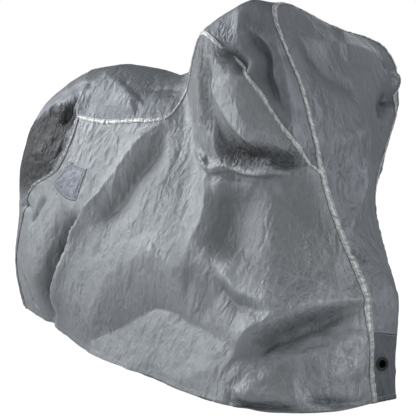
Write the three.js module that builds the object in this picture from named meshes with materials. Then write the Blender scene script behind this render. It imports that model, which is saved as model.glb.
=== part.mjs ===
import * as THREE from 'three';

// A fitted weather cover as it hangs, leaning to its far side: hollow, and open below.
// Millimetres. +X is the front of the cover, +Y its far side, +Z up, origin at the middle of its foot.

// Sizes
const CLOTH = 1.6;            // coated polyester sheet
const TAPE = 1.0;             // seam tape and the sewn-on patch
const TAPE_HALF = 10;         // half the width of the seam tape
const GAP = 0.4;              // air between the cloth and what lies on it
const INSET = 0.25;           // each cut edge stands back this far from its neighbour
const HEM_WIDTH = 25;
const HEM_THICK = 3.4;        // the turned and stitched edge of the cloth
const CELL = 84;              // length of a facet, and its height on the top and on the sides
const TOP_CELL = 105;
const SIDE_CELL = 62;
const LEAN = 11 * Math.PI / 180;
const LEAN_FULL = 450;        // height from which the whole lean applies
const TURN = 110;             // how far the nose is turned to the far side
const TURN_FROM = 400;
const TURN_LENGTH = 600;
const TIGHTNESS = 0.85;       // 0 for straight runs between the supports, 1 for round ones
const FOOT = [6.1, 124.7, -0.5];     // moves the middle of the foot to the origin

// Sections from the tail round to the nose. Each column is a level from the crest to the hem:
// [x along, half width, height] before the cover leans.
const LEVELS = ['crest', 'edge', 'brow', 'seam', 'bulge', 'belt', 'low', 'hem'];
const SECTIONS = [
  { name: 'back', crest: [-800, 0, 902], edge: [-872, 0, 834], brow: [-914, 0, 774],
    seam: [-946, 0, 713], bulge: [-964, 0, 570], belt: [-940, 0, 400],
    low: [-868, 0, 224], hem: [-812, 0, 66] },
  { name: 'corner', crest: [-735, 0, 942], edge: [-684, 80, 902], brow: [-634, 118, 856],
    seam: [-590, 138, 800], bulge: [-700, 165, 640], belt: [-826, 112, 460],
    low: [-820, 84, 240], hem: [-770, 58, 66] },
  { name: 'rear seam', crest: [-672, 0, 968], edge: [-612, 88, 922], brow: [-545, 126, 862],
    seam: [-486, 150, 788], bulge: [-516, 186, 600], belt: [-715, 160, 480],
    low: [-745, 135, 262], hem: [-700, 92, 64] },
  { name: 'tail', crest: [-610, 0, 990], edge: [-540, 95, 940], brow: [-440, 135, 862],
    seam: [-344, 155, 776], bulge: [-400, 190, 560], belt: [-470, 200, 360],
    low: [-495, 190, 190], hem: [-475, 145, 45] },
  { name: 'saddle', crest: [-440, 0, 1012], edge: [-330, 105, 935], brow: [-245, 145, 865],
    seam: [-161, 165, 784], bulge: [-127, 215, 560], belt: [-100, 240, 360],
    low: [-80, 250, 170], hem: [-60, 240, 13] },
  { name: 'notch', crest: [-209, 0, 998], edge: [-75, 95, 930], brow: [-15, 138, 872],
    seam: [41, 165, 805], bulge: [149, 225, 560], belt: [209, 255, 365],
    low: [260, 265, 185], hem: [288, 258, 3] },
  { name: 'dip', crest: [-95, 0, 980], edge: [7, 80, 957], brow: [40, 110, 935],
    seam: [78, 130, 905], bulge: [270, 200, 640], belt: [400, 250, 447],
    low: [470, 285, 228], hem: [560, 324, 0] },
  { name: 'shoulder', crest: [330, 0, 1080], edge: [366, 325, 1092], brow: [368, 342, 1080],
    seam: [369, 348, 1058], bulge: [410, 290, 830], belt: [484, 230, 585],
    low: [600, 285, 267], hem: [700, 354, 0] },
  { name: 'peak', crest: [500, 0, 1152], edge: [540, 335, 1165], brow: [560, 340, 1052],
    seam: [578, 335, 920], bulge: [608, 322, 741], belt: [620, 240, 600],
    low: [760, 290, 257], hem: [845, 352, 0] },
  { name: 'cheek', crest: [552, 0, 1155], edge: [575, 315, 1159], brow: [640, 315, 985],
    seam: [698, 275, 767], bulge: [688, 240, 655], belt: [738, 200, 505],
    low: [873, 200, 241], hem: [953, 240, 0] },
  { name: 'front seam', crest: [578, 0, 1152], edge: [599, 290, 1153], brow: [700, 245, 910],
    seam: [749, 170, 663], bulge: [780, 150, 569], belt: [834, 130, 451],
    low: [919, 100, 298], hem: [968, 87, 0] },
  { name: 'nose', crest: [612, 0, 1140], edge: [642, 0, 1062], brow: [725, 0, 880],
    seam: [770, 0, 700], bulge: [793, 0, 590], belt: [848, 0, 465],
    low: [951, 0, 295], hem: [976, 0, 2] },
];
const REAR_SEAM = 2;
const TOP_SEAM = 3;
const FRONT_SEAM = 10;
const LAST = SECTIONS.length - 1;
const HEM = LEVELS.length - 1;
const BAND_TOP = 6.38;

// The far side is drawn in towards the front. At each height: the share of the width that is left,
// how far back the cloth runs for each mm of width, and how far it sags, in mm.
const FAR_SIDE = [
  { height: 0, share: 0.5, back: 0.9, sag: 0 },
  { height: 250, share: 0.62, back: 0.6, sag: 0 },
  { height: 450, share: 0.68, back: 0.35, sag: 0 },
  { height: 620, share: 0.7, back: 0.27, sag: 0 },
  { height: 750, share: 0.82, back: 0.2, sag: 0 },
  { height: 950, share: 1.01, back: 0.11, sag: 4 },
  { height: 1100, share: 1.03, back: 0.12, sag: 22 },
  { height: 1200, share: 0.99, back: 0.15, sag: 25 },
];
const FAR_FROM = 150;
const FAR_LENGTH = 450;
const NOSE_SHARE = 0.92;      // share of the width left beside the nose

// Folds. A side or near fold has a path of [along, height], a front fold one of [across, height]. left and
// right are the widths on either hand of the path, rise is above the cloth, a crisp fold has a sharp crest.
const FOLDS = [
  { name: 'side ridge', on: 'side', left: 50, right: 45, rise: 26, crisp: true,
    path: [[30, 765], [-110, 600], [-190, 480], [-260, 400], [-300, 280], [-345, 150], [-430, 40]] },
  { name: 'trough beside it', on: 'side', left: 45, right: 45, rise: -20, crisp: false,
    path: [[30, 715], [-10, 630], [-75, 480]] },
  { name: 'hollow behind it', on: 'side', left: 60, right: 55, rise: -38, crisp: false,
    path: [[-295, 370], [-395, 290], [-430, 180], [-465, 70]] },
  { name: 'tail trough', on: 'side', left: 36, right: 34, rise: -14, crisp: false,
    path: [[-460, 970], [-265, 890], [-110, 835]] },
  { name: 'tail ridge', on: 'side', left: 36, right: 34, rise: 14, crisp: true,
    path: [[-510, 915], [-550, 850], [-630, 800]] },
  { name: 'hump valley', on: 'near', left: 38, right: 38, rise: -24, crisp: false,
    path: [[545, 1115], [600, 1030], [635, 960], [675, 860]] },
  { name: 'pocket', on: 'near', left: 40, right: 40, rise: -26, crisp: false,
    path: [[420, 985], [500, 955], [550, 925]] },
  { name: 'rim of the bulge', on: 'near', left: 36, right: 34, rise: 14, crisp: true,
    path: [[450, 845], [530, 785], [610, 735], [700, 730]] },
  { name: 'under the bulge', on: 'near', left: 40, right: 36, rise: -20, crisp: false,
    path: [[490, 735], [560, 685], [715, 675]] },
  { name: 'corner below', on: 'near', left: 45, right: 38, rise: 14, crisp: true,
    path: [[335, 690], [360, 575], [400, 460]] },
  { name: 'column', on: 'near', left: 38, right: 38, rise: -16, crisp: false,
    path: [[425, 960], [410, 840], [405, 700]] },
  { name: 'lower trough', on: 'side', left: 44, right: 40, rise: -20, crisp: false,
    path: [[490, 330], [600, 300], [800, 255]] },
  { name: 'front trough', on: 'side', left: 50, right: 52, rise: -32, crisp: false,
    path: [[690, 140], [745, 190], [815, 240], [920, 285]] },
  { name: 'above the trough', on: 'side', left: 60, right: 50, rise: 14, crisp: true,
    path: [[700, 215], [790, 275], [905, 325]] },
  { name: 'below the trough', on: 'side', left: 50, right: 55, rise: 14, crisp: true,
    path: [[750, 130], [845, 170], [930, 235]] },
  { name: 'rise to the nose', on: 'side', left: 48, right: 48, rise: 12, crisp: true,
    path: [[905, 35], [945, 85], [950, 150]] },
  { name: 'screen ridge', on: 'front', left: 40, right: 44, rise: 14, crisp: true,
    path: [[-265, 1135], [-180, 1090], [80, 1095], [165, 1085]] },
  { name: 'screen recess', on: 'front', left: 45, right: 50, rise: -20, crisp: false,
    path: [[195, 1040], [115, 960], [50, 880]] },
  { name: 'nose ridge', on: 'front', left: 40, right: 45, rise: 12, crisp: true,
    path: [[40, 790], [0, 640], [-90, 490]] },
];
const STEPS = 5;              // straight runs for each stretch of a fold's path
const END = 0.18;             // share of a fold's length over which it dies away
const END_LEFT = 0.25;        // what is left of its height at the very end
const FAR_FOLD = 0.5;         // the far side's folds are this much lower
const FAR_FOLD_SHIFT = 70;    // and stand this much further forward
const BLEND = 80;             // width over which the two sides' folds cross fade at the crest
const FRONT_FOLDS_FROM = 9.6;
const FRONT_FOLDS_LENGTH = 0.8;

// Sewn-on patch, from one section and level to another
const PATCH = { from: 2.36, to: 3.3, top: 3.8, foot: 4.38 };

// Round eyelets in the band, one each side of the nose, and the rings pressed into them
const EYELET = { section: 10.47, level: 6.64, hole: 15.5, flat: 25, fade: 26 };
const RING = { bore: 12, barrel: 14.2, flange: 21, thick: 1.6, air: 0.5, sides: 32 };

const smooth = (a) => {
  const t = Math.min(1, Math.max(0, a));
  return t * t * (3 - 2 * t);
};
const lerp = (a, b, t) => a + (b - a) * t;

// A curve through points whose tangents never outrun the shorter neighbouring stretch
function tangent(before, at, after) {
  const a = at.clone().sub(before);
  const b = after.clone().sub(at);
  const la = a.length();
  const lb = b.length();
  if (la < 1e-6 || lb < 1e-6) return new THREE.Vector3();
  const d = a.divideScalar(la).add(b.divideScalar(lb));
  if (d.length() < 1e-6) return new THREE.Vector3();
  return d.setLength(Math.min(la, lb) * TIGHTNESS);
}

function onCurve(points, before, after, u) {
  const at = (i) => (i < 0 ? before : i >= points.length ? after : points[i]);
  const i = Math.min(points.length - 2, Math.max(0, Math.floor(u)));
  const t = u - i;
  const p = at(i);
  const q = at(i + 1);
  const m = tangent(at(i - 1), p, q);
  const n = tangent(p, q, at(i + 2));
  const t2 = t * t;
  const t3 = t2 * t;
  return new THREE.Vector3()
    .addScaledVector(p, 2 * t3 - 3 * t2 + 1)
    .addScaledVector(m, t3 - 2 * t2 + t)
    .addScaledVector(q, 3 * t2 - 2 * t3)
    .addScaledVector(n, t3 - t2);
}

const mirrored = (p) => new THREE.Vector3(p.x, -p.y, p.z);
const LINES = LEVELS.map((level) => SECTIONS.map((row) => new THREE.Vector3(...row[level])));

// Half of the cover, before it leans: section runs from tail to nose, level from crest to hem
function half(section, level) {
  const down = LINES.map((line) => onCurve(line, mirrored(line[1]), mirrored(line[LAST - 1]), section));
  const past = down[HEM].clone().multiplyScalar(2).sub(down[HEM - 1]);
  return onCurve(down, mirrored(down[1]), past, level);
}

// The same with a side, -1 near and 1 far. Past the crest, tail or nose it goes on to the other side.
function upright(section, level, side) {
  if (level < 0) return upright(section, -level, -side);
  if (section < 0) return upright(-section, level, -side);
  if (section > LAST) return upright(2 * LAST - section, level, -side);
  const p = half(section, level);
  p.y *= side;
  if (side < 0) return p;
  const forward = smooth((p.x - FAR_FROM) / FAR_LENGTH);
  const nose = smooth(section - FRONT_SEAM + 1) * smooth((level - 4) / 2);
  const above = Math.max(1, FAR_SIDE.findIndex((row) => row.height > p.z));
  const [low, high] = [FAR_SIDE[above - 1], FAR_SIDE[above]];
  const up = (p.z - low.height) / (high.height - low.height);
  const at = (column) => lerp(low[column], high[column], up);
  p.y *= 1 - (1 - lerp(at('share'), NOSE_SHARE, nose)) * forward;
  p.x -= at('back') * p.y * forward;
  p.z -= at('sag') * forward * Math.min(1, p.y / 200);
  return p;
}

function normalOf(f, section, level, side) {
  const e = 0.012;
  const along = f(section + e, level, side).sub(f(section - e, level, side));
  const down = f(section, level + e, side).sub(f(section, level - e, side));
  return along.cross(down).multiplyScalar(side).normalize();
}

// A fold's path as short straight runs, each with its start's share of the whole length
function runs(path) {
  const curve = new THREE.SplineCurve(path.map(([a, b]) => new THREE.Vector2(a, b)));
  const points = curve.getPoints((path.length - 1) * STEPS);
  const lengths = points.slice(1).map((p, k) => p.distanceTo(points[k]));
  const whole = lengths.reduce((a, b) => a + b, 0);
  let done = 0;
  return lengths.map((length, k) => {
    const run = { a: points[k], b: points[k + 1], start: done / whole, share: length / whole };
    done += length;
    return run;
  });
}
const CREASES = FOLDS.map((fold) => ({ ...fold, runs: runs(fold.path) }));

function riseOf(fold, a, b) {
  let best = Infinity;
  let hand = 1;
  let at = 0;
  for (const run of fold.runs) {
    const dx = run.b.x - run.a.x;
    const dy = run.b.y - run.a.y;
    const t = Math.min(1, Math.max(0, ((a - run.a.x) * dx + (b - run.a.y) * dy) / (dx * dx + dy * dy)));
    const distance = Math.hypot(a - run.a.x - t * dx, b - run.a.y - t * dy);
    if (distance < best) {
      best = distance;
      hand = Math.sign(dx * (b - run.a.y) - dy * (a - run.a.x));
      at = run.start + t * run.share;
    }
  }
  const x = best / (hand > 0 ? fold.left : fold.right);
  const across = fold.crisp ? Math.max(0, 1 - x / 2) ** 2 : Math.exp(-x * x);
  const dying = (u) => END_LEFT + (1 - END_LEFT) * smooth(u / END);
  return fold.rise * across * dying(at) * dying(1 - at);
}

// How far the folds lift the cloth
function lift(p, section) {
  const near = smooth(0.5 - p.y / BLEND);
  const nose = smooth((section - FRONT_FOLDS_FROM) / FRONT_FOLDS_LENGTH);
  let h = 0;
  for (const fold of CREASES) {
    if (fold.on === 'front') {
      if (nose > 0) h += nose * riseOf(fold, p.y, p.z);
      continue;
    }
    const own = near * riseOf(fold, p.x, p.z);
    const far = fold.on === 'side' ? (1 - near) * FAR_FOLD * riseOf(fold, p.x - FAR_FOLD_SHIFT, p.z) : 0;
    h += (1 - nose) * (own + far);
  }
  return h;
}

// The whole shape leans to the far side and its nose is turned that way
function lean(p) {
  const angle = LEAN * smooth(p.z / LEAN_FULL);
  const turn = TURN * Math.max(0, (p.x - TURN_FROM) / TURN_LENGTH) ** 1.5;
  return new THREE.Vector3(
    p.x - FOOT[0],
    p.y * Math.cos(angle) + p.z * Math.sin(angle) + turn - FOOT[1],
    p.z * Math.cos(angle) - p.y * Math.sin(angle) - FOOT[2],
  );
}

function folded(section, level, side) {
  const p = upright(section, level, side);
  const s = section > LAST ? 2 * LAST - section : Math.abs(section);
  return lean(p.addScaledVector(normalOf(upright, section, level, side), lift(p, s)));
}

// Round each eyelet the cloth is pressed flat
const SPOTS = [-1, 1].map((side) => ({
  side,
  centre: folded(EYELET.section, EYELET.level, side),
  normal: normalOf(folded, EYELET.section, EYELET.level, side),
}));

function cloth(section, level, side) {
  const p = folded(section, level, side);
  for (const spot of SPOTS) {
    const d = p.distanceTo(spot.centre);
    if (d > EYELET.flat + EYELET.fade) continue;
    const off = p.clone().sub(spot.centre).dot(spot.normal);
    p.addScaledVector(spot.normal, -off * (1 - smooth((d - EYELET.flat) / EYELET.fade)));
  }
  return p;
}

// Grid lines. A stretch runs between two stops; beside a seam, or above the hem, its first or last line
// keeps a fixed distance in mm from the stop, and the others share the rest evenly.
const stopsAt = (places, seams) => places.map((at) => ({
  at,
  before: seams.includes(at) ? TAPE_HALF : 0,
  after: seams.includes(at) ? TAPE_HALF : 0,
}));
const SECTION_STOPS = stopsAt(
  [0, 1, 2, PATCH.from, PATCH.to, 4, 5, 6, 7, 8, 9, 10, 11],
  [REAR_SEAM, FRONT_SEAM],
);
const LEVEL_STOPS = stopsAt([0, 1, 2, 3, PATCH.top, PATCH.foot, 5, 6, BAND_TOP, HEM], [TOP_SEAM]);
LEVEL_STOPS.at(-1).before = HEM_WIDTH;

function linesOf(stops, cellAt, lengthAt) {
  const lines = [];
  stops.slice(1).forEach((end, k) => {
    const start = stops[k];
    const first = start.after > 0 ? 1 : 0;
    const last = end.before > 0 ? 1 : 0;
    const length = lengthAt(start.at, end.at) - start.after - end.before;
    const inner = Math.max(1, Math.round(length / cellAt(start.at)));
    const count = inner + first + last;
    for (let m = 0; m < count; m += 1) lines.push({ start, end, m, first, inner });
  });
  const end = stops[stops.length - 1];
  lines.push({ start: end, end, m: 0, first: 0, inner: 1 });
  return lines;
}

// Where a grid line crosses, given the length of its stretch there
function place(line, length) {
  if (line.start === line.end || line.m === 0) return line.start.at;
  const from = line.start.after / length;
  const to = 1 - line.end.before / length;
  return lerp(line.start.at, line.end.at, lerp(from, to, (line.m - line.first) / line.inner));
}

const spread = (a, b, across, f) => Math.max(...across.map((c) => f(a, c).distanceTo(f(b, c))));
const SECTION_LINES = linesOf(
  SECTION_STOPS,
  () => CELL,
  (a, b) => spread(a, b, LEVELS.map((name, k) => k), half),
);
const LEVEL_LINES = linesOf(
  LEVEL_STOPS,
  (level) => (level < TOP_SEAM ? TOP_CELL : SIDE_CELL),
  (a, b) => spread(a, b, SECTIONS.map((row, k) => k), (level, section) => half(section, level)),
);
const lineAt = (lines, at) => lines.findIndex((line) => line.start.at === at && line.m === 0);
const REAR_LINE = lineAt(SECTION_LINES, REAR_SEAM);
const FRONT_LINE = lineAt(SECTION_LINES, FRONT_SEAM);
const NOSE_LINE = SECTION_LINES.length - 1;
const TOP_LINE = lineAt(LEVEL_LINES, TOP_SEAM);
const BAND_LINE = lineAt(LEVEL_LINES, BAND_TOP);
const HEM_LINE = LEVEL_LINES.length - 1;
const PATCH_LINES = [
  lineAt(SECTION_LINES, PATCH.from), lineAt(SECTION_LINES, PATCH.to),
  lineAt(LEVEL_LINES, PATCH.top), lineAt(LEVEL_LINES, PATCH.foot),
];

const knots = new Map();

// The grid's knot where section line i crosses level line j
function knot(i, j, side) {
  const own = i === 0 || j === 0 || i === NOSE_LINE ? -1 : side;
  const key = `${i} ${j} ${own}`;
  if (!knots.has(key)) {
    const column = SECTION_LINES[i];
    const row = LEVEL_LINES[j];
    const roughly = place(row, 250);
    const wide = upright(column.start.at, roughly, own).distanceTo(upright(column.end.at, roughly, own));
    const section = place(column, wide);
    const high = upright(section, row.start.at, own).distanceTo(upright(section, row.end.at, own));
    const level = place(row, high);
    knots.set(key, {
      p: cloth(section, level, own),
      n: normalOf(cloth, section, level, own),
      hem: j >= HEM_LINE - 1,
    });
  }
  return knots.get(key);
}

// A facet as two triangles, split along its shorter diagonal, facing out
function facet(i, j, side) {
  const loop = [knot(i, j, side), knot(i + 1, j, side), knot(i + 1, j + 1, side), knot(i, j + 1, side)];
  if (side < 0) loop.reverse();
  const [a, b, c, d] = loop;
  return a.p.distanceTo(c.p) <= b.p.distanceTo(d.p) ? [[a, b, c], [a, c, d]] : [[b, c, d], [b, d, a]];
}

function facets(from, to, top, foot, side) {
  const found = [];
  for (let i = from; i < to; i += 1) {
    for (let j = top; j < foot; j += 1) found.push(...facet(i, j, side));
  }
  return found;
}

const bothSides = (...block) => [...facets(...block, -1), ...facets(...block, 1)];

// A sheet of cloth over some facets, as one closed body: from low to high off the knots, cut edges set back
function sheet(triangles, low, high) {
  const directed = new Map();
  const id = new Map();
  const loop = [];
  for (const tri of triangles) {
    for (const v of tri) {
      if (!id.has(v)) {
        id.set(v, loop.length);
        loop.push({ v, inward: [] });
      }
    }
  }
  for (const tri of triangles) {
    tri.forEach((v, k) => directed.set(`${id.get(v)} ${id.get(tri[(k + 1) % 3])}`, [v, tri[(k + 1) % 3]]));
  }
  const rim = [...directed.values()].filter(([a, b]) => !directed.has(`${id.get(b)} ${id.get(a)}`));
  for (const [a, b] of rim) {
    const inward = a.n.clone().add(b.n).cross(b.p.clone().sub(a.p)).normalize();
    for (const v of [a, b]) loop[id.get(v)].inward.push(inward);
  }
  const position = [];
  for (const { v, inward } of loop) {
    const p = v.p.clone();
    if (inward.length === 2) {
      const [a, b] = inward;
      p.addScaledVector(a.clone().add(b), INSET / (1 + Math.max(-0.4, a.dot(b))));
    }
    position.push(p.clone().addScaledVector(v.n, high), p.addScaledVector(v.n, low(v)));
  }
  const index = [];
  for (const tri of triangles) {
    const [a, b, c] = tri.map((v) => 2 * id.get(v));
    index.push(a, b, c, c + 1, b + 1, a + 1);
  }
  for (const [v, w] of rim) {
    const a = 2 * id.get(v);
    const b = 2 * id.get(w);
    index.push(b, a, a + 1, b, a + 1, b + 1);
  }
  const geometry = new THREE.BufferGeometry();
  const flat = position.flatMap((p) => p.toArray());
  geometry.setAttribute('position', new THREE.Float32BufferAttribute(flat, 3));
  geometry.setIndex(index);
  return geometry;
}

const panel = (triangles) => sheet(
  triangles,
  (v) => -CLOTH / 2 - (v.hem ? HEM_THICK - CLOTH : 0),
  CLOTH / 2,
);
const overlay = (triangles) => sheet(triangles, () => CLOTH / 2 + GAP, CLOTH / 2 + GAP + TAPE);

// The block of facets round an eyelet, filled again with a flat ring about the hole
const HOLE_BLOCK = { from: FRONT_LINE + 1, to: NOSE_LINE - 1, top: BAND_LINE, foot: HEM_LINE - 1 };

function eyeletFacets(spot) {
  const { from, to, top, foot } = HOLE_BLOCK;
  const edge = [];
  for (let i = from; i < to; i += 1) edge.push(knot(i, top, spot.side));
  for (let j = top; j < foot; j += 1) edge.push(knot(to, j, spot.side));
  for (let i = to; i > from; i -= 1) edge.push(knot(i, foot, spot.side));
  for (let j = foot; j > top; j -= 1) edge.push(knot(from, j, spot.side));
  if (spot.side < 0) edge.reverse();
  const across = edge[0].p.clone().sub(spot.centre).projectOnPlane(spot.normal).normalize();
  const up = spot.normal.clone().cross(across);
  const angles = edge.map((v) => {
    const d = v.p.clone().sub(spot.centre);
    const angle = Math.atan2(d.dot(up), d.dot(across));
    return angle < -1e-6 ? angle + 2 * Math.PI : angle;
  });
  const ring = (radius) => angles.flatMap((angle, k) => {
    const next = k + 1 < angles.length ? angles[k + 1] : 2 * Math.PI;
    return [angle, (angle + next) / 2].map((turn) => ({
      p: spot.centre.clone()
        .addScaledVector(across, radius * Math.cos(turn))
        .addScaledVector(up, radius * Math.sin(turn)),
      n: spot.normal,
    }));
  });
  const outer = ring(EYELET.flat);
  const inner = ring(EYELET.hole);
  const found = [];
  edge.forEach((v, k) => {
    const w = edge[(k + 1) % edge.length];
    const [a, b, c] = [2 * k, 2 * k + 1, (2 * k + 2) % outer.length];
    found.push([v, w, outer[b]], [v, outer[b], outer[a]], [w, outer[c], outer[b]]);
    found.push([outer[a], outer[b], inner[b]], [outer[a], inner[b], inner[a]]);
    found.push([outer[b], outer[c], inner[c]], [outer[b], inner[c], inner[b]]);
  });
  return found;
}

function bandFacets() {
  const { from, to, top, foot } = HOLE_BLOCK;
  return [
    ...bothSides(FRONT_LINE, NOSE_LINE, foot, HEM_LINE),
    ...bothSides(FRONT_LINE, from, top, foot),
    ...bothSides(to, NOSE_LINE, top, foot),
    ...SPOTS.flatMap(eyeletFacets),
  ];
}

// The ring pressed into an eyelet: a barrel with a flange in front and one behind
function eyeletRing(spot) {
  const near = CLOTH / 2 + RING.air;
  const far = near + RING.thick;
  const outline = [
    [RING.bore, -far], [RING.flange, -far], [RING.flange, -near], [RING.barrel, -near],
    [RING.barrel, near], [RING.flange, near], [RING.flange, far], [RING.bore, far],
  ];
  const { sides } = RING;
  const position = [];
  for (let k = 0; k < sides; k += 1) {
    const turn = (2 * Math.PI * k) / sides;
    for (const [r, z] of outline) position.push(r * Math.cos(turn), r * Math.sin(turn), z);
  }
  const index = [];
  for (let k = 0; k < sides; k += 1) {
    const next = ((k + 1) % sides) * outline.length;
    outline.forEach((point, m) => {
      const n = (m + 1) % outline.length;
      const [a, b] = [k * outline.length + m, k * outline.length + n];
      index.push(a, next + m, next + n, a, next + n, b);
    });
  }
  const geometry = new THREE.BufferGeometry();
  geometry.setAttribute('position', new THREE.Float32BufferAttribute(position, 3));
  geometry.setIndex(index);
  const up = new THREE.Vector3(0, 0, 1);
  geometry.applyQuaternion(new THREE.Quaternion().setFromUnitVectors(up, spot.normal));
  geometry.translate(...spot.centre.toArray());
  return geometry;
}

const sidePanel = (side) => panel(facets(REAR_LINE, FRONT_LINE, TOP_LINE, HEM_LINE, side));
const sideTape = (side) => overlay([
  ...facets(REAR_LINE - 1, FRONT_LINE - 1, TOP_LINE - 1, TOP_LINE + 1, side),
  ...facets(REAR_LINE - 1, REAR_LINE + 1, TOP_LINE + 1, HEM_LINE, side),
]);

const LIGHT_CLOTH = new THREE.MeshStandardMaterial({ color: '#8f969c', roughness: 0.55, metalness: 0.15 });
const DARK_CLOTH = new THREE.MeshStandardMaterial({ color: '#6c747e', roughness: 0.55, metalness: 0.15 });
const BAND_CLOTH = new THREE.MeshStandardMaterial({ color: '#4d545c', roughness: 0.6, metalness: 0.05 });
const SEAM_TAPE = new THREE.MeshStandardMaterial({ color: '#c3c9ce', roughness: 0.35, metalness: 0.2 });
const BLACK = new THREE.MeshStandardMaterial({ color: '#17181a', roughness: 0.5, metalness: 0 });

const group = new THREE.Group();
const add = (name, geometry, material) => {
  const mesh = new THREE.Mesh(geometry, material.clone());
  mesh.name = name;
  group.add(mesh);
};
add('rear_panel', panel([
  ...bothSides(0, FRONT_LINE, 0, TOP_LINE),
  ...bothSides(0, REAR_LINE, TOP_LINE, HEM_LINE),
]), DARK_CLOTH);
add('front_panel', panel(bothSides(FRONT_LINE, NOSE_LINE, 0, BAND_LINE)), DARK_CLOTH);
add('front_band', panel(bandFacets()), BAND_CLOTH);
add('side_panel_right', sidePanel(-1), LIGHT_CLOTH);
add('side_panel_left', sidePanel(1), LIGHT_CLOTH);
add('front_seam_tape', overlay(bothSides(FRONT_LINE - 1, FRONT_LINE + 1, 0, HEM_LINE)), SEAM_TAPE);
add('side_seam_tape_right', sideTape(-1), SEAM_TAPE);
add('side_seam_tape_left', sideTape(1), SEAM_TAPE);
add('side_patch', overlay(facets(...PATCH_LINES, -1)), LIGHT_CLOTH);
add('eyelet_ring_right', eyeletRing(SPOTS[0]), BLACK);
add('eyelet_ring_left', eyeletRing(SPOTS[1]), BLACK);

export default group;
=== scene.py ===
"""Looks of a fitted weather cover as it hangs: silver coated cloth, taped seams, hem, patch and eyelets."""
import math

import bpy
import numpy as np
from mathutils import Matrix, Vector


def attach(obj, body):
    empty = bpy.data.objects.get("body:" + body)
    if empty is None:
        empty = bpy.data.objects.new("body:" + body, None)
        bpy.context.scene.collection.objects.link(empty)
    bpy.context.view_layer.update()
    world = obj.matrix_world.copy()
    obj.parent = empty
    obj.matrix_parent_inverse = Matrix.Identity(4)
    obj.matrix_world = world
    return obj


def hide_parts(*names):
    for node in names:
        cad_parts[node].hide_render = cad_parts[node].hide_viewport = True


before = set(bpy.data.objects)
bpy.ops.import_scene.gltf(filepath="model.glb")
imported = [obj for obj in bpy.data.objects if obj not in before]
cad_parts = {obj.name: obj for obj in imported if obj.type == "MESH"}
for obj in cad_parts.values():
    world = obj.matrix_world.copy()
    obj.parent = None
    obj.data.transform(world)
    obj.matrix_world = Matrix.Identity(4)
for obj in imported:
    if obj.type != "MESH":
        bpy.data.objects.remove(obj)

bl_info = {
    "name": "Fitted weather cover",
    "version": (1, 0, 0),
    "blender": (4, 5, 0),
    "location": "3D View > Sidebar > Cover",
    "description": "Builds the cloth, tapes, stitches and eyelets of a fitted weather cover round its packed model",
    "category": "Add Mesh",
}

BODY = "root"
MM = 0.001

# The form, in millimetres, as the part's source gives it. Each section runs from the crest to the hem, and each
# entry is (along, half width, height) before the cover leans.
LEVELS = ("crest", "edge", "brow", "seam", "bulge", "belt", "low", "hem")
SECTIONS = (
    ("back", (-800, 0, 902), (-872, 0, 834), (-914, 0, 774), (-946, 0, 713),
     (-964, 0, 570), (-940, 0, 400), (-868, 0, 224), (-812, 0, 66)),
    ("corner", (-735, 0, 942), (-684, 80, 902), (-634, 118, 856), (-590, 138, 800),
     (-700, 165, 640), (-826, 112, 460), (-820, 84, 240), (-770, 58, 66)),
    ("rear seam", (-672, 0, 968), (-612, 88, 922), (-545, 126, 862), (-486, 150, 788),
     (-516, 186, 600), (-715, 160, 480), (-745, 135, 262), (-700, 92, 64)),
    ("tail", (-610, 0, 990), (-540, 95, 940), (-440, 135, 862), (-344, 155, 776),
     (-400, 190, 560), (-470, 200, 360), (-495, 190, 190), (-475, 145, 45)),
    ("saddle", (-440, 0, 1012), (-330, 105, 935), (-245, 145, 865), (-161, 165, 784),
     (-127, 215, 560), (-100, 240, 360), (-80, 250, 170), (-60, 240, 13)),
    ("notch", (-209, 0, 998), (-75, 95, 930), (-15, 138, 872), (41, 165, 805),
     (149, 225, 560), (209, 255, 365), (260, 265, 185), (288, 258, 3)),
    ("dip", (-95, 0, 980), (7, 80, 957), (40, 110, 935), (78, 130, 905),
     (270, 200, 640), (400, 250, 447), (470, 285, 228), (560, 324, 0)),
    ("shoulder", (330, 0, 1080), (366, 325, 1092), (368, 342, 1080), (369, 348, 1058),
     (410, 290, 830), (484, 230, 585), (600, 285, 267), (700, 354, 0)),
    ("peak", (500, 0, 1152), (540, 335, 1165), (560, 340, 1052), (578, 335, 920),
     (608, 322, 741), (620, 240, 600), (760, 290, 257), (845, 352, 0)),
    ("cheek", (552, 0, 1155), (575, 315, 1159), (640, 315, 985), (698, 275, 767),
     (688, 240, 655), (738, 200, 505), (873, 200, 241), (953, 240, 0)),
    ("front seam", (578, 0, 1152), (599, 290, 1153), (700, 245, 910), (749, 170, 663),
     (780, 150, 569), (834, 130, 451), (919, 100, 298), (968, 87, 0)),
    ("nose", (612, 0, 1140), (642, 0, 1062), (725, 0, 880), (770, 0, 700),
     (793, 0, 590), (848, 0, 465), (951, 0, 295), (976, 0, 2)),
)
REAR_SEAM, TOP_SEAM, FRONT_SEAM = 2, 3, 10
LAST, HEM = len(SECTIONS) - 1, len(LEVELS) - 1
BAND_TOP = 6.38
PATCH = {"from": 2.36, "to": 3.3, "top": 3.8, "foot": 4.38}
TIGHTNESS = 0.85        # of the curves through the sections
NUDGE = 0.012           # of a section or level, to either side of a point whose normal is taken

# The lean to the left, all of it from LEAN_FULL up, and the turn of the front, which grows with the distance
LEAN, LEAN_FULL = math.radians(11), 450
TURN, TURN_FROM, TURN_LENGTH, TURN_BEND = 110, 400, 600, 1.5
FOOT = np.array([6.1, 124.7, -0.5])     # where the frame's origin lies in the leant form

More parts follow.
